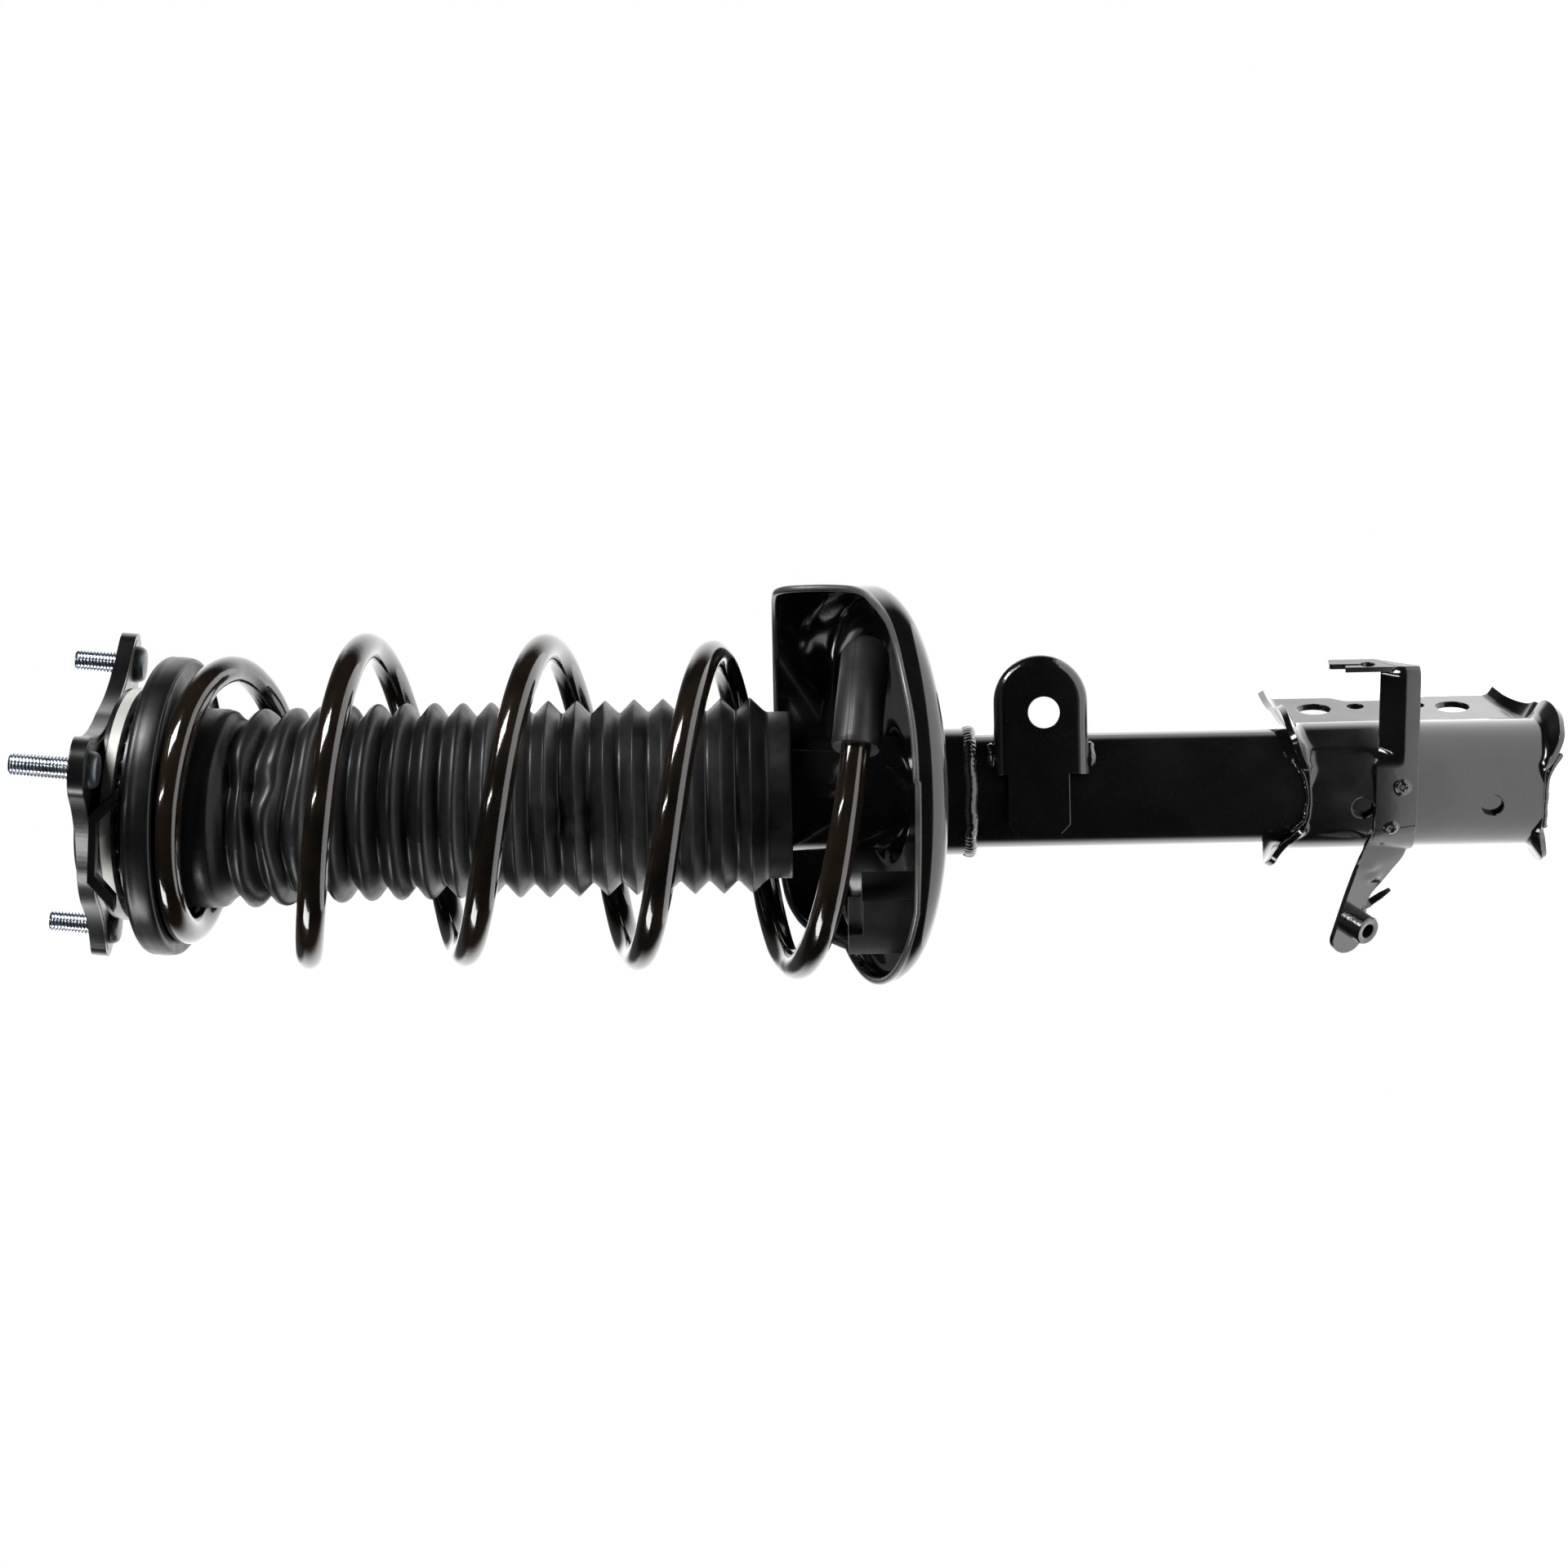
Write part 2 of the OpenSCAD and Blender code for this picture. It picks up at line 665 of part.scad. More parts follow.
// Tab outline in x along the strut and y outwards from the tube
module tab_outline(inset) {
  r = tab_w / 2 - inset;
  top = 59.7;
  intersection() {
    union() {
      translate([0, top - tab_w / 2]) circle(r = r);
      translate([-r, 6.8]) square([2 * r, top - tab_w / 2 - 6.8]);
    }
    translate([-50, 6.8]) square([100, 100]);
  }
}

module tab_shell(inset, front) {
  hull() {
    translate([0, 0, front - tab_depth]) linear_extrude(tab_depth - tab_bend) tab_outline(inset);
    for (a = [0:15:75])
      translate([0, 0, front - tab_bend + tab_bend * sin(a) - eps]) linear_extrude(eps)
        tab_outline(inset + tab_bend * (1 - cos(a)));
    translate([0, 0, front - eps]) linear_extrude(eps) tab_outline(inset + tab_bend);
  }
}

// Puts x along the strut, y along the side heading and z along the front heading
module on_front() {
  multmatrix([
    [0, cos(side_heading), cos(front_heading), 0],
    [0, sin(side_heading), sin(front_heading), 0],
    [-1, 0, 0, 0],
    [0, 0, 0, 1]]) children();
}

module link_tab() {
  color("#101113") translate([0, 0, -link_z]) on_front() difference() {
    union() {
      translate([tab_x, 0, 0]) difference() {
        tab_shell(0, tab_face);
        translate([0, -eps, -tab_t]) tab_shell(tab_t, tab_face);
        translate([-60, 6, 0]) cube([120, 60, tab_face - tab_depth + eps]);
      }
      translate([tongue_x, 0, tab_face - tab_t]) linear_extrude(tab_t) polygon([
        [-tongue_w / 2, 12], [-tongue_w / 2, -15.4], [-tongue_w / 2 + 4, -19.4],
        [tongue_w / 2 - 4, -19.4], [tongue_w / 2, -15.4], [tongue_w / 2, 12]]);
    }
    translate([0, link_out, 0]) cylinder(d = link_bore_d, h = 60);
    rotate([0, 90, 0]) translate([0, 0, -60]) cylinder(r = tube_r, h = 120);
  }
}

// Two short fillet welds between the turned back edges and the tube
module link_tab_welds() {
  color("#1a1b1d") translate([0, 0, -link_z]) on_front() difference() {
    for (s = [-1, 1]) translate([tab_x + s * (tab_w / 2 + 0.5), 15.8, 20.4])
      rotate([52, 0, 0]) cylinder(r = 3, h = 13, center = true);
    rotate([0, 90, 0]) translate([0, 0, -60]) cylinder(r = tube_r, h = 120);
    translate([tab_x - tab_w / 2, -30, -10]) cube([tab_w, 60, 60]);
  }
}

// ----------------------------------------------------------- knuckle bracket
ear_x = ear_gap / 2 + bracket_t;
ear_end = 61;
wrap_top = 539.3;
wrap_bottom = 642.8;
wrap_r = tube_r + bracket_t;
flange_r = 36;

// Ends of the bracket seen along X: y towards the knuckle, z up the strut.
// The -X side sits higher than the +X side.
function top_edge(step) = [[-30, -539.3], [-25, -539.3], [-20, -533.8 + step],
  [-12, -529.8 + step], [10, -527.8 + step / 2], [ear_end, -525.3]];
function low_edge(step) = [[ear_end, -634.8], [48, -637.8], [30, -644.8 + step / 2],
  [10, -649.8 + step], [-8, -652.8 + step], [-18, -651.8 + step], [-25, -642.8],
  [-30, -642.8]];

module side_view(shape_width = 140) {
  rotate([90, 0, 90]) linear_extrude(shape_width, center = true) children();
}

module bracket_outline(top_step, low_step) {
  polygon(concat(top_edge(top_step), low_edge(low_step)));
}

// Section of the bracket seen along the tube
module bracket_section() {
  blend_y = 12;
  difference() {
    union() {
      circle(r = wrap_r);
      translate([-ear_x, 0]) square([2 * ear_x, ear_end]);
    }
    circle(r = tube_r);
    translate([-ear_gap / 2, blend_y]) square([ear_gap, ear_end]);
  }
}

// Footprint of the turned out edges, seen along the tube
module flange_section() {
  difference() {
    union() {
      intersection() {
        circle(r = flange_r);
        translate([-50, -25.5]) square([100, 45]);
      }
      polygon([[-30, 18], [-24.5, ear_end], [24.5, ear_end], [30, 18]]);
    }
    circle(r = tube_r + 1);
    translate([-ear_gap / 2 - 1, 0]) square([ear_gap + 2, ear_end + 1]);
  }
}

// Band along one end of the outline, one sheet thick
module edge_band(edge, into) {
  n = len(edge);
  polygon(concat(edge, [for (i = [n - 1:-1:0]) edge[i] + [0, into]]));
}

// One half of the bracket: side is 1 for +X and -1 for -X
module bracket_half(side, top_step, low_step) {
  intersection() {
    union() {
      intersection() {
        translate([0, 0, -664]) linear_extrude(154) bracket_section();
        side_view() bracket_outline(top_step, low_step);
      }
      intersection() {
        translate([0, 0, -664]) linear_extrude(154) flange_section();
        side_view() edge_band(top_edge(top_step), -bracket_t);
      }
      intersection() {
        translate([0, 0, -664]) linear_extrude(154) flange_section();
        side_view() edge_band(low_edge(low_step), bracket_t);
      }
    }
    translate([side > 0 ? 0 : -100, -100, -700]) cube([100, 200, 300]);
  }
}

module knuckle_bracket() {
  top_y = ear_end + 1;
  wrap_hole_heading = -93;
  color("#111214") difference() {
    union() {
      bracket_half(1, 0, 0);
      bracket_half(-1, 9, 6);
    }
    for (z = [bolt_upper, bolt_upper + bolt_spacing])
      translate([-60, bolt_out, -z]) rotate([0, 90, 0]) cylinder(d = knuckle_bore_d, h = 120);
    for (z = [568.3, 595.8])
      translate([-60, bolt_out + 3, -z]) rotate([0, 90, 0]) cylinder(d = 8, h = 120);
    for (z = [562.8, 619.8])
      translate([0, 0, -z]) rotate([0, 90, wrap_hole_heading]) cylinder(d = 9.8, h = 60);
    // The ears' free edge steps in between the two bolts
    side_view() polygon([[top_y, -558], [56, -566], [56, -594], [top_y, -602]]);
  }
}

module bracket_welds() {
  color("#18191b") difference() {
    for (z = [wrap_top, wrap_bottom]) translate([0, 0, -z]) rotate([0, 0, -115])
      rotate_extrude(angle = 50) translate([tube_r + 1.4, 0]) circle(r = 2.6);
    translate([0, 0, -700]) cylinder(r = tube_r, h = 200);
    bracket_half(1, 0, 0);
    bracket_half(-1, 9, 6);
  }
}

// -------------------------------------------------------------- hose bracket
band_top = 567.8;
band_w = 18.6;
band_t = 2.2;
band_r = wrap_r + band_t;
arm_in = 2;

module hose_bracket() {
  color("#151618") difference() {
    union() {
      // Band round the knuckle bracket
      translate([0, 0, -band_top - band_w]) rotate([0, 0, -165])
        rotate_extrude(angle = 150) translate([wrap_r, 0]) square([band_t, band_w]);
      // Arm standing off to +X, with a turned edge
      translate([arm_in, -band_r, -band_top - band_w]) cube([63 - arm_in, band_t, band_w]);
      translate([19, -band_r, -band_top - band_w]) cube([44, 8, band_t]);
      // Tab at its end, square to the ears
      translate([63 - band_t, -band_r, -band_top]) rotate([90, 0, 90])
        linear_extrude(band_t) polygon([[0, -band_w], [6, -band_w], [16, 0], [16, 20.5],
          [9, 20.5], [9, 14], [0, 14]]);
      // Arm to the hose nut
      hose_arm();
    }
    // Slot that a hose clip slides into
    translate([50, -band_r + 8, -band_top + 4]) rotate([0, 90, 0]) cylinder(d = 7, h = 30);
    translate([50, -band_r + 6, -band_top + 4]) cube([30, 4, 40]);
    nut_place() translate([0, 0, -20]) cylinder(r = nut_hole_r, h = 40);
    // Flat seats for the nut in front and for a bolt's end behind
    nut_place() cylinder(r = 6.65, h = 20);
    nut_place() translate([0, 0, -band_t - 20]) cylinder(r = 7, h = 20);
  }
}

// Centre and direction of the hose nut
nut_pos = [-54.1, -27.1, -557.8];
nut_heading = -103;
nut_turn = 37;
nut_hole_r = 3.4;
nut_len = 12.5;

module nut_place() {
  translate(nut_pos) rotate([0, 0, nut_heading]) rotate([0, 90 + nut_turn, 0]) children();
}

module hose_arm() {
  difference() {
    hull() {
      nut_place() translate([0, 0, -band_t]) cylinder(r = 7.6, h = band_t, $fn = 32);
      nut_place() translate([-2.5, -9, -band_t]) cylinder(r = 6, h = band_t, $fn = 32);
      rotate([0, 0, -158]) translate([wrap_r, -5, -band_top - band_w + 1])
        cube([band_t, 10, band_w - 2]);
    }
    translate([0, 0, -band_top - band_w - 5]) cylinder(r = wrap_r + 0.05, h = 60);
  }
}

module hose_nut() {
  color("#1b1c1e") nut_place() difference() {
    cylinder(r = 6.6, h = nut_len);
    translate([0, 0, -1]) cylinder(r = nut_hole_r, h = nut_len + 2);
  }
}

module hose_bracket_welds() {
  band_mid = -band_top - band_w / 2;
  spots = [[front_heading - 2.5, 0], [front_heading - 40, 1.8]];
  color("#1e1f21") difference() {
    for (w = spots) rotate([0, 0, w[0]]) translate([band_r - 0.5, 0, band_mid + w[1]])
      rotate([0, 90, 0]) cylinder(r1 = 3.4, r2 = 2, h = 2.6);
    translate([0, 0, -band_top - band_w]) cylinder(r = band_r + 0.01, h = band_w);
    translate([0, -band_r - 0.01, -band_top - band_w]) cube([40, band_t + 6, band_w]);
  }
}

mount_plate();
mount_doubler();
mount_studs();
mount_cup();
mount_rubber();
strap_bracket();
bearing_upper_race();
bearing_balls();
bearing_lower_race();
upper_spring_seat();
upper_isolator();
coil_spring();
spring_sleeve();
dust_boot();
inner_sleeve();
rod_washer();
rod_nut();
bump_cup();
bump_stop();
piston_rod();
rebound_stop();
piston();
piston_ring();
piston_nut();
damper_tube();
base_cap();
rod_guide();
rod_seal();
top_cap();
pressure_tube();
base_valve();
lower_spring_seat();
seat_weld();
lower_isolator();
link_tab();
link_tab_welds();
knuckle_bracket();
bracket_welds();
hose_bracket();
hose_bracket_welds();
hose_nut();
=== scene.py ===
"""MacPherson strut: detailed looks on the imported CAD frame. Metres, +Z up the rod axis."""
import json
import math

import bpy
import numpy as np
from mathutils import Matrix, Vector, noise


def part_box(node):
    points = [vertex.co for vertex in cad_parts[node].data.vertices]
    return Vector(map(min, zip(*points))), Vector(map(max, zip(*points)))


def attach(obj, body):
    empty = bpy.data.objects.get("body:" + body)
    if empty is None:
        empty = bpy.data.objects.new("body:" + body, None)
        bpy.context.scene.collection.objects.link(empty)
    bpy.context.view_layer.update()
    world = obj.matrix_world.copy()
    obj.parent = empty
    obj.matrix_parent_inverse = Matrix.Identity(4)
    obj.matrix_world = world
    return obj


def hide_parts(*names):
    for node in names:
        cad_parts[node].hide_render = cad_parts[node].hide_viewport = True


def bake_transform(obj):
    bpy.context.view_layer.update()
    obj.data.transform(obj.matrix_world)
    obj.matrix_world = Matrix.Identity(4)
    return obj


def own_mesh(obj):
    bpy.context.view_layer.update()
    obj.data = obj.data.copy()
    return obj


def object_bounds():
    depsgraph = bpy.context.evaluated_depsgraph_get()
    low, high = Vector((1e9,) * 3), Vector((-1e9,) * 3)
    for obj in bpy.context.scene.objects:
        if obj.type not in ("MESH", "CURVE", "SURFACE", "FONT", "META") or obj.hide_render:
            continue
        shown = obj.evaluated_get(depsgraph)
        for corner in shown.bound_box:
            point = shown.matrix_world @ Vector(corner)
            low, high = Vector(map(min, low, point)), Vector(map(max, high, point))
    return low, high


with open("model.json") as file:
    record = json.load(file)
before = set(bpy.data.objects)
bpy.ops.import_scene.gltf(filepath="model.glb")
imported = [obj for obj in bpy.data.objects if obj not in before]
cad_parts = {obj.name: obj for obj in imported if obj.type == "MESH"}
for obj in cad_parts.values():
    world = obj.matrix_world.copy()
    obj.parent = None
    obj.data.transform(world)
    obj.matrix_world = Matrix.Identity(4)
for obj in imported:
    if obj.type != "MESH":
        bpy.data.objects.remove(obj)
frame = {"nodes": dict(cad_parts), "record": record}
cad_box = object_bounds()

MM = 0.001
SIDE = math.radians(19)      # heading of the link tab's free end, up in the main view
FRONT = math.radians(-71)    # heading of the main camera
U = Vector((math.cos(SIDE), math.sin(SIDE), 0))
N = Vector((math.cos(FRONT), math.sin(FRONT), 0))
X = Vector((1, 0, 0))
Z = Vector((0, 0, 1))


def heading(angle):
    """Level unit vector at an angle from +X."""
    return Vector((math.cos(angle), math.sin(angle), 0))


def leaned(v, angle_deg, heading_deg, pivot=Vector((0, 0, 0))):
    """v turned about pivot so that +Z leans by an angle towards a heading."""
    h = math.radians(heading_deg)
    axis = Vector((-math.sin(h), math.cos(h), 0))
    return Matrix.Rotation(math.radians(angle_deg), 3, axis) @ (v - pivot) + pivot


# ------------------------------------------------------------------ materials
def new_material(name):
    """An empty node material, with its nodes and links."""
    m = bpy.data.materials.new(name)
    m.use_nodes = True
    m.node_tree.nodes.clear()
    return m, m.node_tree.nodes, m.node_tree.links


def finish_material(name, dark, light, rough, metallic=0.0, coat=0.0, coat_rough=0.05,
                    peel=0.0, peel_scale=900.0, grain=0.0, grain_scale=3000.0, bevel=0.0,
                    patch_scale=40.0, specular=0.5, specks=0.0):
    """Painted, plated or rubber surface: patchy colour and roughness, orange peel, grain
    and a few specks of dust. bevel is the radius in metres that hard edges are shaded with."""
    m, nodes, links = new_material(name)
    out = nodes.new("ShaderNodeOutputMaterial")
    bsdf = nodes.new("ShaderNodeBsdfPrincipled")
    links.new(bsdf.outputs[0], out.inputs[0])
    bsdf.inputs["Metallic"].default_value = metallic
    bsdf.inputs["Specular IOR Level"].default_value = specular
    bsdf.inputs["Coat Weight"].default_value = coat
    bsdf.inputs["Coat Roughness"].default_value = coat_rough
    where = nodes.new("ShaderNodeTexCoord")

    def noise_node(scale, detail=3.0):
        n = nodes.new("ShaderNodeTexNoise")
        n.inputs["Scale"].default_value = scale
        n.inputs["Detail"].default_value = detail
        links.new(where.outputs["Object"], n.inputs["Vector"])
        return n

    def ramp(source, low, high, a, b):
        r = nodes.new("ShaderNodeMapRange")
        r.inputs["From Min"].default_value = low
        r.inputs["From Max"].default_value = high
        r.inputs["To Min"].default_value = a
        r.inputs["To Max"].default_value = b
        links.new(source, r.inputs["Value"])
        return r.outputs[0]

    patch = noise_node(patch_scale)
    colour = nodes.new("ShaderNodeMix")
    colour.data_type = "RGBA"
    colour.inputs["A"].default_value = (*dark, 1)
    colour.inputs["B"].default_value = (*light, 1)
    links.new(ramp(patch.outputs["Fac"], 0.35, 0.65, 0, 1), colour.inputs["Factor"])
    surface = colour.outputs["Result"]
    if specks:
        dust = noise_node(2600.0, 1.0)
        mask = ramp(dust.outputs["Fac"], 0.76, 0.79, 0, specks)
        speck = nodes.new("ShaderNodeMix")
        speck.data_type = "RGBA"
        speck.inputs["B"].default_value = (0.45, 0.44, 0.42, 1)
        links.new(mask, speck.inputs["Factor"])
        links.new(surface, speck.inputs["A"])
        surface = speck.outputs["Result"]
    links.new(surface, bsdf.inputs["Base Color"])
    links.new(ramp(noise_node(patch_scale * 2.3).outputs["Fac"], 0.3, 0.7,
                   rough * 0.85, rough * 1.2), bsdf.inputs["Roughness"])
    normal = None
    if bevel:
        b = nodes.new("ShaderNodeBevel")
        b.samples = 6
        b.inputs["Radius"].default_value = bevel
        normal = b.outputs[0]
    for strength, scale, height in ((peel, peel_scale, 0.0006), (grain, grain_scale, 0.0002)):
        if strength:
            bump = nodes.new("ShaderNodeBump")
            bump.inputs["Strength"].default_value = strength
            bump.inputs["Distance"].default_value = height
            links.new(noise_node(scale, 2.0).outputs["Fac"], bump.inputs["Height"])
            if normal:
                links.new(normal, bump.inputs["Normal"])
            normal = bump.outputs[0]
    if normal:
        links.new(normal, bsdf.inputs["Normal"])
        if coat:
            links.new(normal, bsdf.inputs["Coat Normal"])
    return m


BLACK = (0.0030, 0.0030, 0.0032)
coat_mat = finish_material("black_e_coat", BLACK, (0.0055, 0.0052, 0.005), 0.13, coat=0.5,
                           peel=0.012, peel_scale=240, bevel=0.0007, specks=0.25)
# Lighter grey for the dish's rim edge: a painted highlight, the thin light line along the rim
rim_highlight_mat = finish_material("sheared_edge_painted_highlight", (0.05, 0.05, 0.048), (0.11, 0.105, 0.10), 0.3,
                           coat=0.3, coat_rough=0.2, grain=0.2)
mount_mat = finish_material("black_mount_paint", (0.0045, 0.0042, 0.0048), (0.0075, 0.007, 0.0075),
                            0.27, coat=0.25, coat_rough=0.2, peel=0.02, peel_scale=300,
                            bevel=0.0008, specks=0.2)
weld_mat = finish_material("black_coat_weld", (0.004, 0.004, 0.004), (0.010, 0.009, 0.008), 0.18,
                           coat=0.7, coat_rough=0.08, peel=0.2, peel_scale=900)
spring_mat = finish_material("spring_powder_coat", (0.0045, 0.0036, 0.003), (0.017, 0.0115, 0.007),
                             0.12, coat=0.7, coat_rough=0.04, peel=0.05, peel_scale=420,
                             specks=0.15)
boot_mat = finish_material("boot_rubber_satin", (0.0095, 0.0092, 0.0105), (0.0145, 0.0142, 0.016),
                           0.38, grain=0.12, peel=0.05, peel_scale=120, patch_scale=60)
rubber_mat = finish_material("moulded_rubber", (0.006, 0.006, 0.0065), (0.012, 0.012, 0.013), 0.42,
                             grain=0.25, peel=0.06, peel_scale=300, bevel=0.0008, specular=0.4)
isolator_mat = finish_material("isolator_rubber", (0.004, 0.004, 0.0045), (0.008, 0.008, 0.009),
                               0.33, grain=0.12, peel=0.05, peel_scale=160, specular=0.42)
sleeve_mat = finish_material("sleeve_rubber", (0.012, 0.012, 0.0125), (0.020, 0.020, 0.021), 0.42,
                             grain=0.2, peel=0.06, peel_scale=200)
zinc_mat = finish_material("zinc_plate", (0.62, 0.67, 0.76), (0.80, 0.84, 0.90), 0.2,
                           metallic=1.0, grain=0.15)
head_mat = finish_material("stud_head_plate", (0.09, 0.10, 0.105), (0.17, 0.18, 0.19), 0.36,
                           metallic=0.85, grain=0.4, peel=0.1, peel_scale=700)
race_mat = finish_material("bearing_shell", (0.55, 0.55, 0.52), (0.68, 0.67, 0.64), 0.38,
                           metallic=0.15, grain=0.2, bevel=0.0006)
steel_mat = finish_material("plain_steel", (0.35, 0.36, 0.38), (0.45, 0.46, 0.47), 0.32,
                            metallic=1.0, grain=0.2, bevel=0.0004)
chrome_mat = finish_material("hard_chrome", (0.72, 0.73, 0.75), (0.8, 0.8, 0.82), 0.08,
                             metallic=1.0, grain=0.05)
iron_mat = finish_material("sintered_iron", (0.16, 0.16, 0.17), (0.24, 0.24, 0.25), 0.5,
                           metallic=0.9, grain=0.6, bevel=0.0004)
foam_mat = finish_material("cellular_foam", (0.42, 0.34, 0.20), (0.52, 0.43, 0.27), 0.85,
                           grain=0.8, grain_scale=1500)
ring_mat = finish_material("filled_plastic", (0.05, 0.04, 0.035), (0.07, 0.06, 0.05), 0.4,
                           grain=0.2)

CAD_LOOKS = {
    "black_coat": coat_mat, "spring_coat": spring_mat, "zinc": zinc_mat, "rubber": rubber_mat,
    "boot_rubber": boot_mat, "foam": foam_mat, "steel": steel_mat, "hard_chrome": chrome_mat,
    "sintered": iron_mat, "ring_plastic": ring_mat,
}
OWN_LOOKS = {"bearing_upper_race": race_mat, "bearing_lower_race": mount_mat,
             "mount_plate": mount_mat, "mount_doubler": mount_mat, "strap_bracket": mount_mat,
             "mount_cup": mount_mat, "upper_spring_seat": mount_mat}
SLOT_OF = {s["node"]: s["material_slot"] for s in frame["record"]["subparts"]}
for node_name, obj in frame["nodes"].items():
    obj.data.materials.clear()
    obj.data.materials.append(OWN_LOOKS.get(node_name) or CAD_LOOKS[SLOT_OF[node_name]])


# -------------------------------------------------------------------- helpers
def piece(name, verts, faces, material, body=None, smooth=True):
    """A mesh object in the scene and the body it rides on, if any."""
    mesh = bpy.data.meshes.new(name)
    mesh.from_pydata([tuple(v) for v in verts], [], faces)
    mesh.validate()
    mesh.update()
    obj = bpy.data.objects.new(name, mesh)
    bpy.context.scene.collection.objects.link(obj)
    mesh.materials.append(material)
    if smooth:
        mesh.polygons.foreach_set("use_smooth", [True] * len(mesh.polygons))
    if body:
        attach(obj, body)
    return obj


def rings_to_mesh(rings, closed_rings=True, close_path=False, caps=True):
    """Vertices and faces that join a list of equally long point loops."""
    n = len(rings[0])
    verts = [p for r in rings for p in r]
    faces = []
    count = len(rings)
    for i in range(count if close_path else count - 1):
        j = (i + 1) % count
        for k in range(n if closed_rings else n - 1):
            l = (k + 1) % n
            faces.append((i * n + k, i * n + l, j * n + l, j * n + k))
    if caps and not close_path and closed_rings:
        faces.append(tuple(range(n - 1, -1, -1)))
        faces.append(tuple((count - 1) * n + k for k in range(n)))
    return verts, faces


def rounded(corners, radius, n=5):
    """A path with each inner corner turned into a curve that starts radius before it."""
    out = [corners[0]]
    for a, b, c in zip(corners, corners[1:], corners[2:]):
        p = b + (a - b).normalized() * radius
        q = b + (c - b).normalized() * radius
        out += [p.lerp(b, t).lerp(b.lerp(q, t), t) for t in (k / n for k in range(n + 1))]
    return out + [corners[-1]]


def merge(objs, node):
    """Joins the pieces into the first, which then stands for a CAD node."""
    with bpy.context.temp_override(active_object=objs[0], selected_editable_objects=objs,
                                   selected_objects=objs, object=objs[0]):
        bpy.ops.object.join()
    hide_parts(node)
    return objs[0]


def lathe(profile, steps, warp=None):
    """A closed outline [(radius, z), ...] in metres, turned round +Z."""
    rings = []
    for i in range(steps):
        a = 2 * math.pi * i / steps
        row = []
        for r, z in profile:
            p = Vector((r * math.cos(a), r * math.sin(a), z))
            row.append(warp(p, a) if warp else p)
        rings.append(row)
    return rings_to_mesh(rings, close_path=True)


def apply_modifiers(obj):
    """Swaps the object's mesh for the one its modifiers give."""
    bpy.context.view_layer.update()
    dg = bpy.context.evaluated_depsgraph_get()
    mesh = bpy.data.meshes.new_from_object(obj.evaluated_get(dg))
    old = obj.data
    obj.modifiers.clear()
    obj.data = mesh
    bpy.data.meshes.remove(old)


def cut(obj, cutters):
    """Booleans the cutters out of obj and deletes them."""
    for c in cutters:
        mod = obj.modifiers.new("cut", "BOOLEAN")
        mod.operation = "DIFFERENCE"
        mod.solver = "EXACT"
        mod.object = c
    apply_modifiers(obj)
    for c in cutters:
        bpy.data.objects.remove(c)


def smooth_by_angle(obj, degrees):
    """Smooth shading, but edges that bend by more than the angle stay sharp."""
    mesh = obj.data
    mesh.polygons.foreach_set("use_smooth", [True] * len(mesh.polygons))
    mesh.set_sharp_from_angle(angle=math.radians(degrees))


def smoothstep(a, b, x):
    """0 at a and 1 at b with soft ends; a may be the larger."""
    t = min(1.0, max(0.0, (x - a) / (b - a)))
    return t * t * (3 - 2 * t)


def spread(a, b, n):
    """n + 1 even steps from a to b."""
    return [a + (b - a) * k / n for k in range(n + 1)]


def lookup(x, table):
    """The table's second column at x, straight between its rows."""
    if x <= table[0][0]:
        return table[0][1]
    for (x0, y0), (x1, y1) in zip(table, table[1:]):
        if x <= x1:
            return y0 + (y1 - y0) * (x - x0) / (x1 - x0)
    return table[-1][1]


# --------------------------------------------------------------- coil spring
# The winding repeats part.scad's: angles count from the front heading, depths in mm.
BEARING_LEAN, BEARING_HEADING, PIVOT_DEPTH = 8.2, 77, 35.3
BEARING_PIVOT = Vector((0, 0, -PIVOT_DEPTH))
WIRE_R, COIL_R, TOP_COIL_R, TOP_COIL_Z = 6.5, 68.5, 57.0, 45.8
RISE = [(0, 45.8), (90, 55), (135, 72), (180, 82), (270, 97.8), (450, 121.8), (630, 163.6),
        (810, 203.8), (990, 240.2), (1170, 278.5), (1350, 308.4), (1405, 328.3), (1443, 338.6),
        (1505, 344.8), (1700, 359.8)]
DRIFT = [(0, 2.5), (200, 2.5), (450, 1.3), (810, -0.5), (1170, -4.9), (1507, -6)]
LEAN_SHARE = [(0, 1), (180, 0.6), (450, 0), (2000, 0)]
WIRE_START, WIRE_END = -195, 1505
LAST_COIL_GROWTH, END_TAPER = 2.5, 0.86


def smooth_lookup(a, table):
    """lookup() averaged over 100 degrees of winding, which rounds the table's corners."""
    return sum(lookup(a + d, table) for d in (-50, -25, 0, 25, 50)) / 5


def wire_radius_at(a):
    """Radius of the winding: a small first coil, wide ones, and a little wider at the end."""
    if a < 0:
        return TOP_COIL_R
    if a < 300:
        return TOP_COIL_R + (COIL_R - TOP_COIL_R) * (1 - math.cos(math.radians(a * 0.6))) / 2
    if a < 1170:
        return COIL_R
    return COIL_R + LAST_COIL_GROWTH * (1 - math.cos(math.radians(min(a - 1170, 180)))) / 2


def wire_point(a):
    """Centre of the spring wire in metres."""
    h = FRONT + math.radians(a)
    r = wire_radius_at(a)
    s = smooth_lookup(a, DRIFT)
    depth = max(TOP_COIL_Z, smooth_lookup(a, RISE))
    v = heading(h) * r + U * s - Z * depth
    return leaned(v, lookup(a, LEAN_SHARE) * BEARING_LEAN, BEARING_HEADING, BEARING_PIVOT) * MM


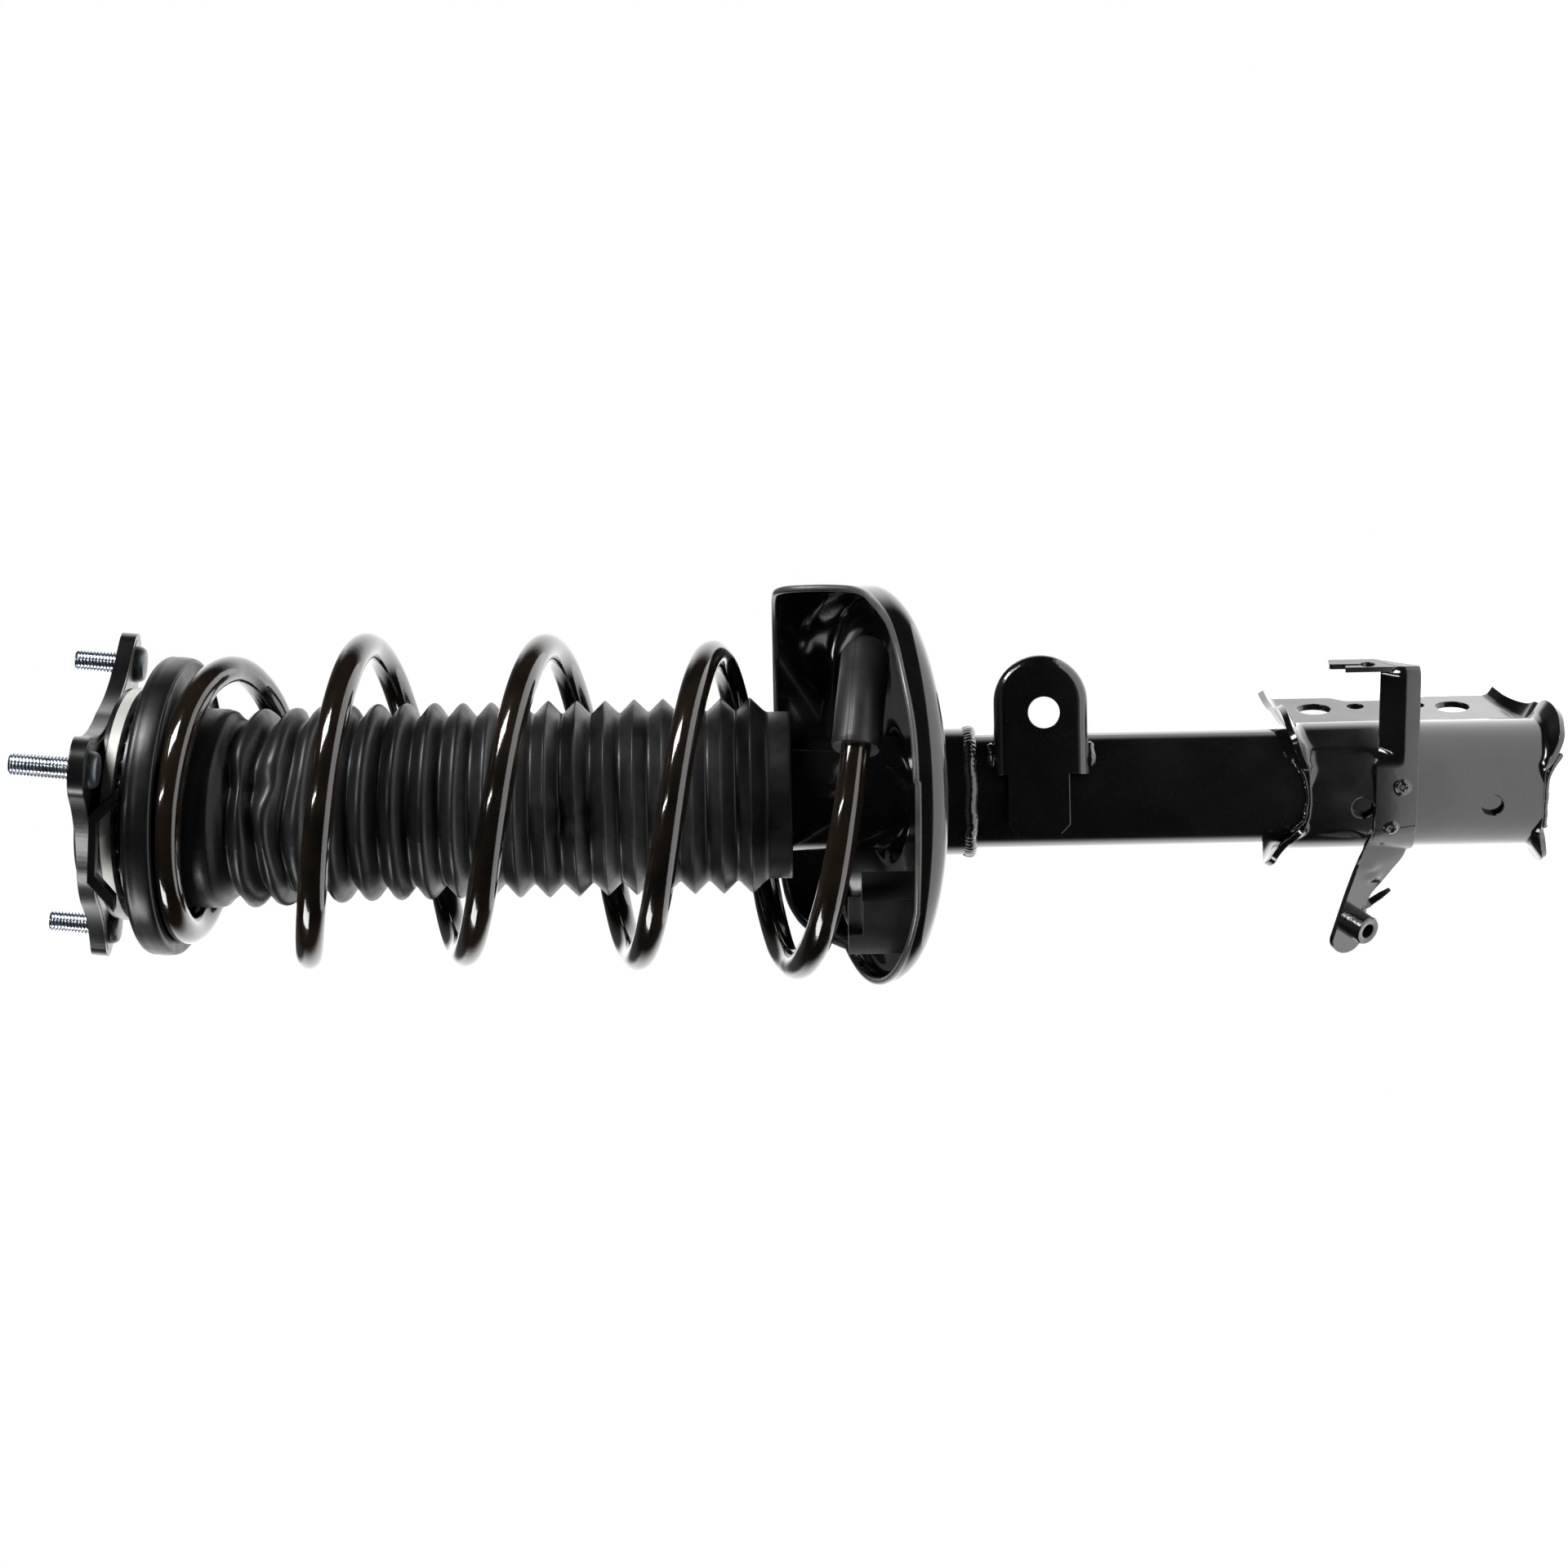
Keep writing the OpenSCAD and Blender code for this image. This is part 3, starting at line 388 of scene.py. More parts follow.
def wire_rings(a0, a1, radius_at, steps, sides):
    """Rings round the wire and their winding angles; radius_at(share along, angle) in mm."""
    rings, angles = [], []
    for i in range(steps + 1):
        share = i / steps
        a = a0 + (a1 - a0) * share
        p = wire_point(a)
        t = (wire_point(a + 0.5) - wire_point(a - 0.5)).normalized()
        u = t.cross(Z).normalized()
        v = u.cross(t)
        rings.append([p + (u * math.cos(w) + v * math.sin(w)) * radius_at(share, w) * MM
                      for w in (2 * math.pi * k / sides for k in range(sides))])
        angles.append(a)
    return rings, angles


SPRING_STEPS, SPRING_SIDES = 760, 28
rings, angles = wire_rings(WIRE_START, WIRE_END, lambda s, w: WIRE_R, SPRING_STEPS, SPRING_SIDES)
for end in (0, -1):
    centre = sum(rings[end], Vector()) / SPRING_SIDES
    rings[end] = [centre + (p - centre) * END_TAPER for p in rings[end]]
verts, faces = rings_to_mesh(rings)
spring = piece("coil_spring_wire", verts, faces, spring_mat)
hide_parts("coil_spring")
low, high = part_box("coil_spring")
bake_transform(spring)

# Rubber sleeve on the wire's lower end, with a moulded seam on each side
SLEEVE_R, SLEEVE_START, SLEEVE_END, SLEEVE_SIDES = 10.75, 1461, 1508.6, 96
SLEEVE_SEAMS = (0.35, 3.5)          # angles round the wire, in radians
BORE_DEPTH, BORE_GAP = 4, 0.06      # how far the mouth goes in, in degrees, and its clearance


def sleeve_radius(share, w):
    """The sleeve's outside, with rounded ends and a groove along each seam."""
    seam = min(abs((w - s + math.pi) % (2 * math.pi) - math.pi) for s in SLEEVE_SEAMS)
    body = SLEEVE_R - 0.5 * smoothstep(0.94, 1.0, share) - 0.9 * (share > 0.985)
    body -= 0.5 * smoothstep(0.03, 0.0, share)
    return body - 0.45 * math.exp(-(seam / 0.05) ** 2)


rings, _ = wire_rings(SLEEVE_START, SLEEVE_END, sleeve_radius, 60, SLEEVE_SIDES)
inner, _ = wire_rings(SLEEVE_START, SLEEVE_START + BORE_DEPTH, lambda s, w: WIRE_R + BORE_GAP, 1,
                      SLEEVE_SIDES)
rings = [inner[1], inner[0]] + rings
verts, faces = rings_to_mesh(rings)
sleeve = piece("spring_end_sleeve", verts, faces, sleeve_mat, "strut_tube")
smooth_by_angle(sleeve, 45)
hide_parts("spring_sleeve")

# ------------------------------------------------------------------ dust boot
# Depths below the seating face and radii in mm; headings in radians from the front
BOOT_TOP, CUFF_END, COLLAR_TOP, BOOT_BOTTOM = 38.5, 61.0, 299.6, 311.3
CREST_R, ROOT_R, CUFF_R, COLLAR_R, BOOT_WALL = 43.75, 37.75, 44.4, 37.2, 1.6
PITCH, PLEATS = 12.9, 18
DENTS = ((0.30, 71, 13, 5.0, 5.5), (0.22, 84, 11, 5.0, 5.0), (-0.9, 78, 26, 6, 3.0),
         (-0.22, 214, 9, 8, 3.4), (0.05, 104, 14, 6, 2.0))   # heading, depth, width, height, dip
PARTING_LINE_AT = -0.42


def boot_profile():
    """Radius and depth down the boot, in mm: cuff, neck, pleats and collar."""
    pts = [(CUFF_R - 4, BOOT_TOP), (CUFF_R, BOOT_TOP + 1.5), (CUFF_R, BOOT_TOP + 6),
           (CUFF_R, CUFF_END - 8), (CUFF_R - 0.2, CUFF_END - 3), (CUFF_R - 1.0, CUFF_END),
           (CUFF_R - 3.6, CUFF_END + 2.6), (ROOT_R + 1.6, CUFF_END + 5.2)]
    for i in range(PLEATS):
        root = COLLAR_TOP - (PLEATS - i) * PITCH
        if root < CUFF_END + 5:
            continue
        sharp = smoothstep(90, 230, root)      # rounded crests above, sharp below
        crest = root + PITCH / 2
        width = 2.5 - 1.7 * sharp
        top = CREST_R + 0.5 * (1 - sharp)
        pts += [(ROOT_R + 0.2, root), (ROOT_R + 0.7, root + 0.9),
                (top - 1.3 + 0.7 * sharp, crest - width), (top - 0.25, crest - width * 0.45),
                (top, crest), (top - 0.25, crest + width * 0.45),
                (top - 1.3 + 0.7 * sharp, crest + width), (ROOT_R + 0.7, root + PITCH - 0.9)]
    pts += [(ROOT_R, COLLAR_TOP), (COLLAR_R, COLLAR_TOP + 1), (COLLAR_R, COLLAR_TOP + 4),
            (COLLAR_R, BOOT_BOTTOM - 0.8), (COLLAR_R - 0.4, BOOT_BOTTOM)]
    return pts


def resample(pts, step):
    """The same outline in pieces no longer than about step."""
    out = [pts[0]]
    for (r0, z0), (r1, z1) in zip(pts, pts[1:]):
        n = max(1, int(math.hypot(r1 - r0, z1 - z0) / step))
        out += [(r0 + (r1 - r0) * k / n, z0 + (z1 - z0) * k / n) for k in range(1, n + 1)]
    return out


def dent(p_heading, depth, at_heading, at_depth, wide_deg, tall, amount):
    """How deep a round dent is at a point of the boot, in mm."""
    dh = (p_heading - at_heading + math.pi) % (2 * math.pi) - math.pi
    q = (dh / math.radians(wide_deg)) ** 2 + ((depth - at_depth) / tall) ** 2
    return amount * math.exp(-q)


def boot_warp(p, a):
    """Folds, dents, the parting line and the lean of the upper pleats."""
    depth = -p.z / MM
    r = p.xy.length / MM
    front = (a - FRONT + math.pi) % (2 * math.pi) - math.pi
    wave = noise.noise(Vector((math.cos(a) * 1.6, math.sin(a) * 1.6, depth * 0.035)))
    r += wave * 0.8 * smoothstep(300, 200, depth) * smoothstep(44, 60, depth)
    neck = smoothstep(60, 74, depth) * smoothstep(112, 88, depth)
    twist = neck * (1.7 * math.sin(2.0 * front + depth * 0.12 + 0.9)
                    + 0.7 * math.sin(5.0 * front + depth * 0.2))
    for at, at_depth, wide, tall, dip in DENTS:
        r -= dent(a, depth, FRONT + at, at_depth, wide, tall, dip)
    r += dent(a, depth, FRONT + PARTING_LINE_AT, depth, 0.55, 1, 0.28)
    # The pleats lean with the seat at the top and straighten on the way down
    share = smoothstep(235, 60, depth)
    q = Vector((r * math.cos(a), r * math.sin(a), -depth))
    q = leaned(q, share * BEARING_LEAN, BEARING_HEADING, Vector((0, 0, -depth)))
    below_pivot = min(25, max(0, depth - PIVOT_DEPTH))
    q += heading(math.radians(BEARING_HEADING)) * share * math.sin(
        math.radians(-BEARING_LEAN)) * below_pivot * smoothstep(150, 60, depth)
    q.z -= twist
    return q * MM


outline = resample(boot_profile(), 0.9)
inner = [(r - BOOT_WALL, z) for r, z in reversed(outline)]
profile = [(r * MM, -z * MM) for r, z in outline + inner]
verts, faces = lathe(profile, 320, boot_warp)
boot = piece("dust_boot_rubber", verts, faces, boot_mat)
smooth_by_angle(boot, 75)
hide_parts("dust_boot")
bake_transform(boot)

# ------------------------------------------------------------------ bump stop
STOP_TOP, STOP_END, STOP_BORE = 38, 88, 11.4
STOP_WAIST = ((19.5, 0), (19.5, 12.7), (17, 16.7), (19.5, 20.7), (20, 29.3), (16, 33.3),
              (19, 37.3), (17, 50))     # radius and distance below its top, waist by waist

soft_edge = rounded([Vector((r, 0, STOP_TOP + d)) for r, d in STOP_WAIST], 1.5)
profile = [(STOP_BORE * MM, -STOP_TOP * MM)] + [(p.x * MM, -p.z * MM) for p in soft_edge]
profile.append((STOP_BORE * MM, -STOP_END * MM))
verts, faces = lathe(profile, 96)
stop = piece("bump_stop_foam", verts, faces, foam_mat, "rod")
smooth_by_angle(stop, 40)
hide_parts("bump_stop")
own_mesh(stop)

# ---------------------------------------------------------------- mount studs
MOUNT_LEAN, MOUNT_HEADING = 5.7, 23
STUD_CENTRE = Vector((9.5, 3.3, 0))
STUD_PCD = 138
STUDS = ((-65, 27.5), (55, 20.5), (175, 20.5))     # heading and height above the face
STUD_FOOT, THREAD_STEP = -0.2, 0.125               # lowest thread ring, and their spacing
PITCH_M10, CREST, ROOT = 1.5, 4.95, 4.03
ROOT_FLAT, FLANKS = 0.1, 0.78                      # shares of the pitch
TIP_R, TIP_SLOPE = 3.6, 1.1                        # chamfer at the stud's end
# Domed head under the plate with a raised ring round its rim: radius and height
STUD_HEAD = ((0.2, -11.7), (2.5, -11.65), (4.4, -11.45), (5.4, -11.15), (5.9, -11.25),
             (6.3, -11.3), (6.8, -11.1), (7.4, -10.5), (7.9, -9.6), (8.2, -8.5), (8.3, -7.2))


def at_mount(v):
    """A point in mm on the level mount, in its leaning place in metres."""
    return leaned(v, MOUNT_LEAN, MOUNT_HEADING) * MM


def at_bearing(v):
    """A point in mm on the level bearing, in its leaning place in metres."""
    return leaned(v, BEARING_LEAN, BEARING_HEADING, BEARING_PIVOT) * MM


def thread_radius(w, z, tall):
    """Radius of a stud's thread at angle w and height z, chamfered at its end."""
    turn = (z / PITCH_M10 - w / (2 * math.pi)) % 1.0
    vee = min(1.0, max(0.0, (abs(turn - 0.5) * 2 - ROOT_FLAT) / FLANKS))
    r = ROOT + (CREST - ROOT) * vee
    return min(r, TIP_R + (tall - z) * TIP_SLOPE)


def around(foot, r, w, z):
    """A point on a stud, r from its axis."""
    return at_mount(foot + Vector((r * math.cos(w), r * math.sin(w), z)))


stud_verts, stud_faces, head_faces = [], [], []
for at, tall in STUDS:
    foot = STUD_CENTRE + heading(math.radians(at)) * STUD_PCD / 2
    rows = int((tall - STUD_FOOT) / THREAD_STEP)
    rings = [[around(foot, thread_radius(w, z, tall), w, z)
              for w in (2 * math.pi * k / 40 for k in range(40))]
             for z in (STUD_FOOT + (tall - STUD_FOOT) * i / rows for i in range(rows + 1))]
    v, f = rings_to_mesh(rings)
    stud_faces += [tuple(i + len(stud_verts) for i in q) for q in f]
    stud_verts += v
    rings = [[around(foot, r, w, z) for w in (2 * math.pi * k / 56 for k in range(56))]
             for r, z in STUD_HEAD]
    v, f = rings_to_mesh(rings)
    head_faces += [tuple(i + len(stud_verts) for i in q) for q in f]
    stud_verts += v
studs = piece("stud_threads_and_heads", stud_verts, stud_faces + head_faces, zinc_mat, "mount")
studs.data.materials.append(head_mat)
for poly in studs.data.polygons[len(stud_faces):]:
    poly.material_index = 1
smooth_by_angle(studs, 50)
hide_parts("mount_studs")

# ------------------------------------------------------------- upper isolator
ISOLATOR = ([(46, -31.4), (46, -41.0), (46.8, -41.8), (49.2, -41.8)]
            + [(57 + 6.9 * math.cos(math.radians(t)), -45.8 + 6.9 * math.sin(math.radians(t)))
               for t in range(144, 30, -12)]
            + [(63.4, -41.4), (64.2, -41.8), (65.3, -41.6), (66.0, -40.9), (66.3, -39.8),
               (66.5, -38.0), (66.6, -36.2), (66.6, -34.4)]
            + [(63 + 3.6 * math.cos(math.radians(t)), -32 + 3.6 * math.sin(math.radians(t)))
               for t in range(-20, 91, 15)]
            + [(60, -28.5), (57.4, -28.5), (57.0, -28.9), (57, -29.4), (61, -31.4)])


def isolator_warp(p, a):
    """Moves the ring's inside off centre, as the spring is, and swells its outside unevenly."""
    r = p.xy.length / MM
    q = p / MM
    if r < 64:
        q += U * 2.5 * smoothstep(64, 62, r)
    swell = noise.noise(Vector((math.cos(a) * 2, math.sin(a) * 2, 3.1))) * 0.25
    q += heading(a) * swell * smoothstep(62, 66, r)
    return at_bearing(q)


verts, faces = lathe([(r * MM, z * MM) for r, z in ISOLATOR], 200, isolator_warp)
isolator = piece("upper_isolator_ring", verts, faces, isolator_mat, "seat")
smooth_by_angle(isolator, 55)
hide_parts("upper_isolator")

# ---------------------------------------------------------- lower spring seat
DISH_R, DISH_FLOOR, DISH_TILT, DISH_LEAN_TO = 87.9, -354.75, 15.5, math.radians(-75)
DISH_CENTRE = U * 4
DISH_SHEET, DISH_EDGE_R, COLLAR_FOOT, COLLAR_MIDDLE = 2.9, 1.65, -390.3, 26.9
RIM_UPPER = [(-25, -305.2), (-12, -306), (-3, -310.5), (5, -325.8), (15, -339.8), (27, -345.7),
             (35, -347.8), (54, -355.1), (76, -360.3), (88, -364.8), (120, -364.8)]
RIM_LOWER = [(-84, -305.2), (-70, -309.3), (-60, -316.3), (-50, -331.4), (-45, -339.8),
             (-39, -347.4), (-27, -352.1), (0, -358.1), (15, -361.3), (49, -363.8),
             (88, -365.3), (120, -365.3)]


def dish_profile(a):
    """Radius and height up the sheet's middle at one heading, from the collar to the rim."""
    k = math.tan(math.radians(DISH_TILT)) * math.cos(a - DISH_LEAN_TO)
    slant = math.hypot(1, k)
    k0, lip, corner, hub = DISH_FLOOR, 7.5, 7.5, COLLAR_MIDDLE
    rc = hub + lip
    zc = k0 - k * rc - lip * slant
    pts = [(hub, z) for z in spread(COLLAR_FOOT, zc, 5)]
    turn = math.atan2(1, k)                 # the floor's upward normal
    pts += [(rc + lip * math.cos(t), zc + lip * math.sin(t)) for t in spread(math.pi, turn, 8)[1:]]
    r2 = DISH_R - corner
    z2 = k0 - k * r2 + corner * slant
    down = math.atan2(-1, -k)
    if down > 0:
        down -= 2 * math.pi
    tx = r2 + corner * math.cos(down)
    pts += [(r, k0 - k * r) for r in spread(pts[-1][0], tx, 26)[1:]]
    pts += [(r2 + corner * math.cos(t), z2 + corner * math.sin(t)) for t in spread(down, 0, 9)[1:]]
    x = DISH_R * math.cos(a - FRONT)
    table = RIM_UPPER if math.sin(a - FRONT) > 0 else RIM_LOWER
    rim = sum(lookup(x + d, table) for d in (-3, -1.5, 0, 1.5, 3)) / 5
    rim = max(rim, z2 + 0.8)
    pts += [(DISH_R, z) for z in spread(z2, rim, 30)[1:]]
    return pts


def dish_point(a, r, z):
    """A point of the dish in metres, with the far wall's pocket and two pressed bumps."""
    out = heading(a)
    up, front = r * math.sin(a - FRONT), r * math.cos(a - FRONT)
    if r > 60 and front < 0:                # pocket pressed into the far wall and floor
        pocket = smoothstep(1.3, 0.5, math.hypot((up + 4 - 67) / 21, (z + 342) / 23))
        r += 4.5 * pocket * smoothstep(78, DISH_R, r)
        z -= 3.0 * pocket * smoothstep(DISH_R, 76, r)
    centre = DISH_CENTRE * smoothstep(28, 40, r)
    for at, radius, wide, deep in ((-95, 64, 15, 2.6), (72, 62, 13, 2.2)):
        spot = heading(FRONT + math.radians(at)) * radius
        z += deep * math.exp(-((out * r - spot).length / wide) ** 2) * smoothstep(34, 44, r)
    return (out * r + centre + Z * z) * MM


rings = []
for i in range(400):
    a = 2 * math.pi * i / 400
    rings.append([dish_point(a, r, z) for r, z in dish_profile(a)])
verts, faces = rings_to_mesh(rings, closed_rings=False, close_path=True)
dish = piece("lower_seat_dish", verts, faces, coat_mat, "strut_tube")
solid = dish.modifiers.new("sheet", "SOLIDIFY")
solid.thickness, solid.offset, solid.use_even_offset = DISH_SHEET * MM, 0, True
apply_modifiers(dish)
smooth_by_angle(dish, 50)

# The sheared edge of the dish, rounded by its paint, in a lighter grey that is a painted highlight
# along the rim
edge = [row[-1] for row in rings]
rounds = []
for i, p in enumerate(edge):
    t = (edge[(i + 1) % len(edge)] - edge[i - 1]).normalized()
    out = Vector((p.x, p.y, 0)).normalized()
    side = t.cross(out).normalized()
    out = side.cross(t)
    rounds.append([p + (out * math.cos(w) + side * math.sin(w)) * DISH_EDGE_R * MM
                   for w in (2 * math.pi * k / 14 for k in range(14))])
verts, faces = rings_to_mesh(rounds, close_path=True)
dish_edge = piece("lower_seat_edge", verts, faces, rim_highlight_mat, "strut_tube")
merge([dish, dish_edge], "lower_spring_seat")

# ------------------------------------------------------------ knuckle bracket
EAR_X, EAR_END, WRAP_R, SHEET, EAR_BEND_R = 19.4, 61.0, 26.8, 2.8, 5.0
EAR_ROOT, EAR_NOTCH = 20.4, 5      # where the ears begin, and how far their ends are cut back
TOP_EDGE = [(-30, -539.3, 0), (-25, -539.3, 0), (-20, -533.8, 9), (-12, -529.8, 9),
            (10, -527.8, 4.5), (61, -525.3, 0)]
LOW_EDGE = [(-30, -642.8, 0), (-25, -642.8, 0), (-18, -651.8, 6), (-8, -652.8, 6),
            (10, -649.8, 6), (30, -644.8, 3), (48, -637.8, 0), (61, -634.8, 0)]
BOLTS, EAR_HOLES, WRAP_HOLES = (-549.1, -612.1), (-568.3, -595.8), (-562.8, -619.8)
BOLT_HOLE_R, EAR_HOLE_R, WRAP_HOLE_R, WRAP_HOLE_HEADING = 7.75, 4, 4.9, -93


def edge_height(table, x, y):
    """Height of the bracket's edge; the table's third column is added on the -X side."""
    rows = [(t[0], t[1] + (t[2] if x < 0 else 0)) for t in table]
    return sum(lookup(y + d, rows) for d in (-2.5, -1.2, 0, 1.2, 2.5)) / 5


def bracket_path():
    """Middle of the sheet seen along the tube, with outward normals, from ear to ear."""
    rc = EAR_BEND_R
    cx, cy = EAR_X + rc, math.sqrt((WRAP_R + rc) ** 2 - (EAR_X + rc) ** 2)
    meet = math.atan2(cy, cx)
    half = [(EAR_X, y, 1, 0) for y in spread(EAR_END, cy, 26)]
    for t in spread(math.pi, math.pi + meet, 6)[1:]:
        half.append((cx + rc * math.cos(t), cy + rc * math.sin(t), -math.cos(t), -math.sin(t)))
    for t in spread(meet, -math.pi / 2, 72)[1:]:
        half.append((WRAP_R * math.cos(t), WRAP_R * math.sin(t), math.cos(t), math.sin(t)))
    path = half + [(-x, y, -nx, ny) for x, y, nx, ny in half[-2::-1]]
    gaps = [math.dist(a[:2], b[:2]) for a, b in zip(path, path[1:] + path[-1:])]
    out = []
    for x, y, nx, ny in path:               # the turned edges round the tight corner widely
        near = [(g * math.exp(-((x - p[0]) ** 2 + (y - p[1]) ** 2) / 130), p)
                for g, p in zip(gaps, path)]
        mean = [sum(w * p[k] for w, p in near) / sum(w for w, p in near) for k in range(4)]
        lean = Vector(mean[2:]).normalized()
        fill = max(0.0, (mean[0] - x) * lean.x + (mean[1] - y) * lean.y) if y < 45 else 0.0
        out.append((x, y, nx, ny, lean, fill))
    return out


def bracket_column(x, y, nx, ny, lean, fill):
    """The sheet from its lower turned edge, up the wall, to the upper one."""
    wide = 8.6 * smoothstep(-26.0, -15, y) - 3.6 * smoothstep(5, 50, y) + 1.6 * fill
    bend, steep = 6.0, math.radians(58)
    angle = max(0.08, min(steep, math.acos(max(-1.0, 1 - wide / bend))))
    rest = max(0.8, (wide - bend * (1 - math.cos(steep))) / math.sin(steep))
    flare = [(bend * (1 - math.cos(t)), bend * math.sin(t)) for t in spread(0, angle, 6)]
    knee = flare[-1]
    flare += [(knee[0] + d * math.sin(angle), knee[1] + d * math.cos(angle))
              for d in spread(0, rest, 4)[1:]]
    half = SHEET / 2 * math.sin(angle)
    tall = flare[-1][1]
    top, low = edge_height(TOP_EDGE, x, y) - half, edge_height(LOW_EDGE, x, y) + half
    pts = [(w, low + tall - h) for w, h in reversed(flare)]
    pts += [(0, z) for z in spread(low + tall, top - tall, 60)[1:]]
    pts += [(w, top - tall + h) for w, h in flare[1:]]
    column = []
    for w, z in pts:
        yy = y
        if y > EAR_ROOT:
            notch = smoothstep(-603, -594, z) * smoothstep(-557, -566, z)
            yy = EAR_ROOT + (y - EAR_ROOT) * (1 - EAR_NOTCH * notch / (EAR_END - EAR_ROOT))
        ripple = noise.noise(Vector((x, y, z)) * 0.05) * 0.12
        column.append(Vector((x + lean.x * w + nx * ripple, yy + lean.y * w + ny * ripple,
                              z)) * MM)
    return column


def drill(radius, length, centre, along):
    """A cylinder in mm that cut() takes away."""
    bpy.ops.mesh.primitive_cylinder_add(vertices=64, radius=radius * MM, depth=length * MM)
    tool = bpy.context.object
    tool.location = centre * MM
    tool.rotation_euler = along.to_track_quat("Z", "Y").to_euler()
    return tool


columns = [bracket_column(*p) for p in bracket_path()]
verts, faces = rings_to_mesh(columns, closed_rings=False)
bracket = piece("knuckle_bracket_sheet", verts, faces, coat_mat, "strut_tube")
solid = bracket.modifiers.new("sheet", "SOLIDIFY")
solid.thickness, solid.offset = SHEET * MM, 0
apply_modifiers(bracket)
holes = [drill(BOLT_HOLE_R, 120, Vector((0, 45, z)), X) for z in BOLTS]
holes += [drill(EAR_HOLE_R, 120, Vector((0, 48, z)), X) for z in EAR_HOLES]
wrap_hole = heading(math.radians(WRAP_HOLE_HEADING))
holes += [drill(WRAP_HOLE_R, 20, wrap_hole * 30 + Z * z, wrap_hole) for z in WRAP_HOLES]
cut(bracket, holes)
smooth_by_angle(bracket, 40)
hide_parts("knuckle_bracket")


# ---------------------------------------------------------------- weld beads
BEAD_SIDES, RIPPLE = 16, 2.2
COLLAR_WELD_Z, WRAP_WELD_R, WRAP_WELD_FROM, WRAP_WELD_SPAN = -389.9, 26.6, -122, 78
TAB_WELD_R, TAB_WELD_UP, TAB_WELD_LONG = 26.3, 10.5, 10.5


def bead(name, path, size, node, seed, closed=False):
    """Irregular weld bead along a path in mm, with ripples and small blobs."""
    rings, n = [], len(path)
    run = 0.0
    for i, p in enumerate(path):
        q = path[(i + 1) % n] if closed or i < n - 1 else path[i]
        b = path[i - 1] if closed or i > 0 else path[i]
        run += (p - b).length if i else 0
        t = (q - b).normalized()
        out = Vector((p.x, p.y, 0)).normalized()
        side = t.cross(out).normalized()
        out = side.cross(t)
        lump = noise.noise(Vector((run * 0.13, seed, 0))) * 0.30
        wave = 0.04 * math.sin(run * 2 * math.pi / RIPPLE + 2 * lump)
        end = 1 if closed else min(1, 0.25 + min(i, n - 1 - i) / 5)
        shift = side * noise.noise(Vector((run * 0.12, 7, seed))) * 0.8
        ring = []
        for k in range(BEAD_SIDES):
            w = 2 * math.pi * k / BEAD_SIDES
            d = out * math.cos(w) * 0.8 + side * math.sin(w)
            rough = noise.noise((p + d * size) * 0.5) * 0.10
            ring.append((p + shift + d * size * end * (1 + lump + wave + rough)) * MM)
        rings.append(ring)
    verts, faces = rings_to_mesh(rings, close_path=closed)
    obj = piece(name, verts, faces, weld_mat, "strut_tube")
    if node:
        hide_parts(node)
    return obj


circle = [heading(2 * math.pi * k / 420) for k in range(420)]
collar_line = [c * COLLAR_MIDDLE + Z * COLLAR_WELD_Z for c in circle]
bead("dish_collar_weld", collar_line, 3.0, "seat_weld", 3, closed=True)


def wrap_weld(name, table, lift, seed):
    """Bead round the tube along one edge of the knuckle bracket."""
    path = []
    for k in range(190):
        a = math.radians(WRAP_WELD_FROM + WRAP_WELD_SPAN * k / 189)
        x, y = WRAP_WELD_R * math.cos(a), WRAP_WELD_R * math.sin(a)
        path.append(Vector((x, y, edge_height(table, x, y) + lift)))
    return bead(name, path, 1.25, None, seed)


merge([wrap_weld("bracket_wrap_welds", TOP_EDGE, 0.6, 5), wrap_weld("wrap_low", LOW_EDGE, -0.6, 8)],
      "bracket_welds")


def tab_weld(name, side, seed):
    """Bead along the tube on one side of the link tab's foot."""
    path = []
    for k in range(26):
        up = TAB_WELD_UP + TAB_WELD_LONG * k / 25
        out = math.sqrt(TAB_WELD_R ** 2 - up * up)
        path.append(U * up + N * out + Z * (-422.8 - (-1.2 + side * 21.6)))
    return bead(name, path, 2.1, None, seed)


merge([tab_weld("link_tab_weld_beads", -1, 11), tab_weld("tab_low", 1, 13)], "link_tab_welds")

# --------------------------------------------------------------- hose bracket
BAND_R, BAND_TOP, BAND_W, BAND_T, BAND_CORNER = 29.3, -567.8, 18.6, 2.2, 4.2
BAND_FROM, BAND_TO, ARM_END = -160, -88, 57.6      # headings in degrees, and X in mm
NUT_AT, NUT_AXIS = Vector((-54.1, -27.1, -557.8)), Vector((-0.1797, -0.7782, -0.6018))


def strip(name, rows, thickness=BAND_T):
    """A sheet through rows of points in mm, solidified."""
    verts, faces = rings_to_mesh([[p * MM for p in r] for r in rows], closed_rings=False)
    obj = piece(name, verts, faces, coat_mat, "strut_tube")
    solid = obj.modifiers.new("sheet", "SOLIDIFY")
    solid.thickness, solid.offset, solid.use_even_offset = thickness * MM, 0, True
    apply_modifiers(obj)
    smooth_by_angle(obj, 45)
    return obj


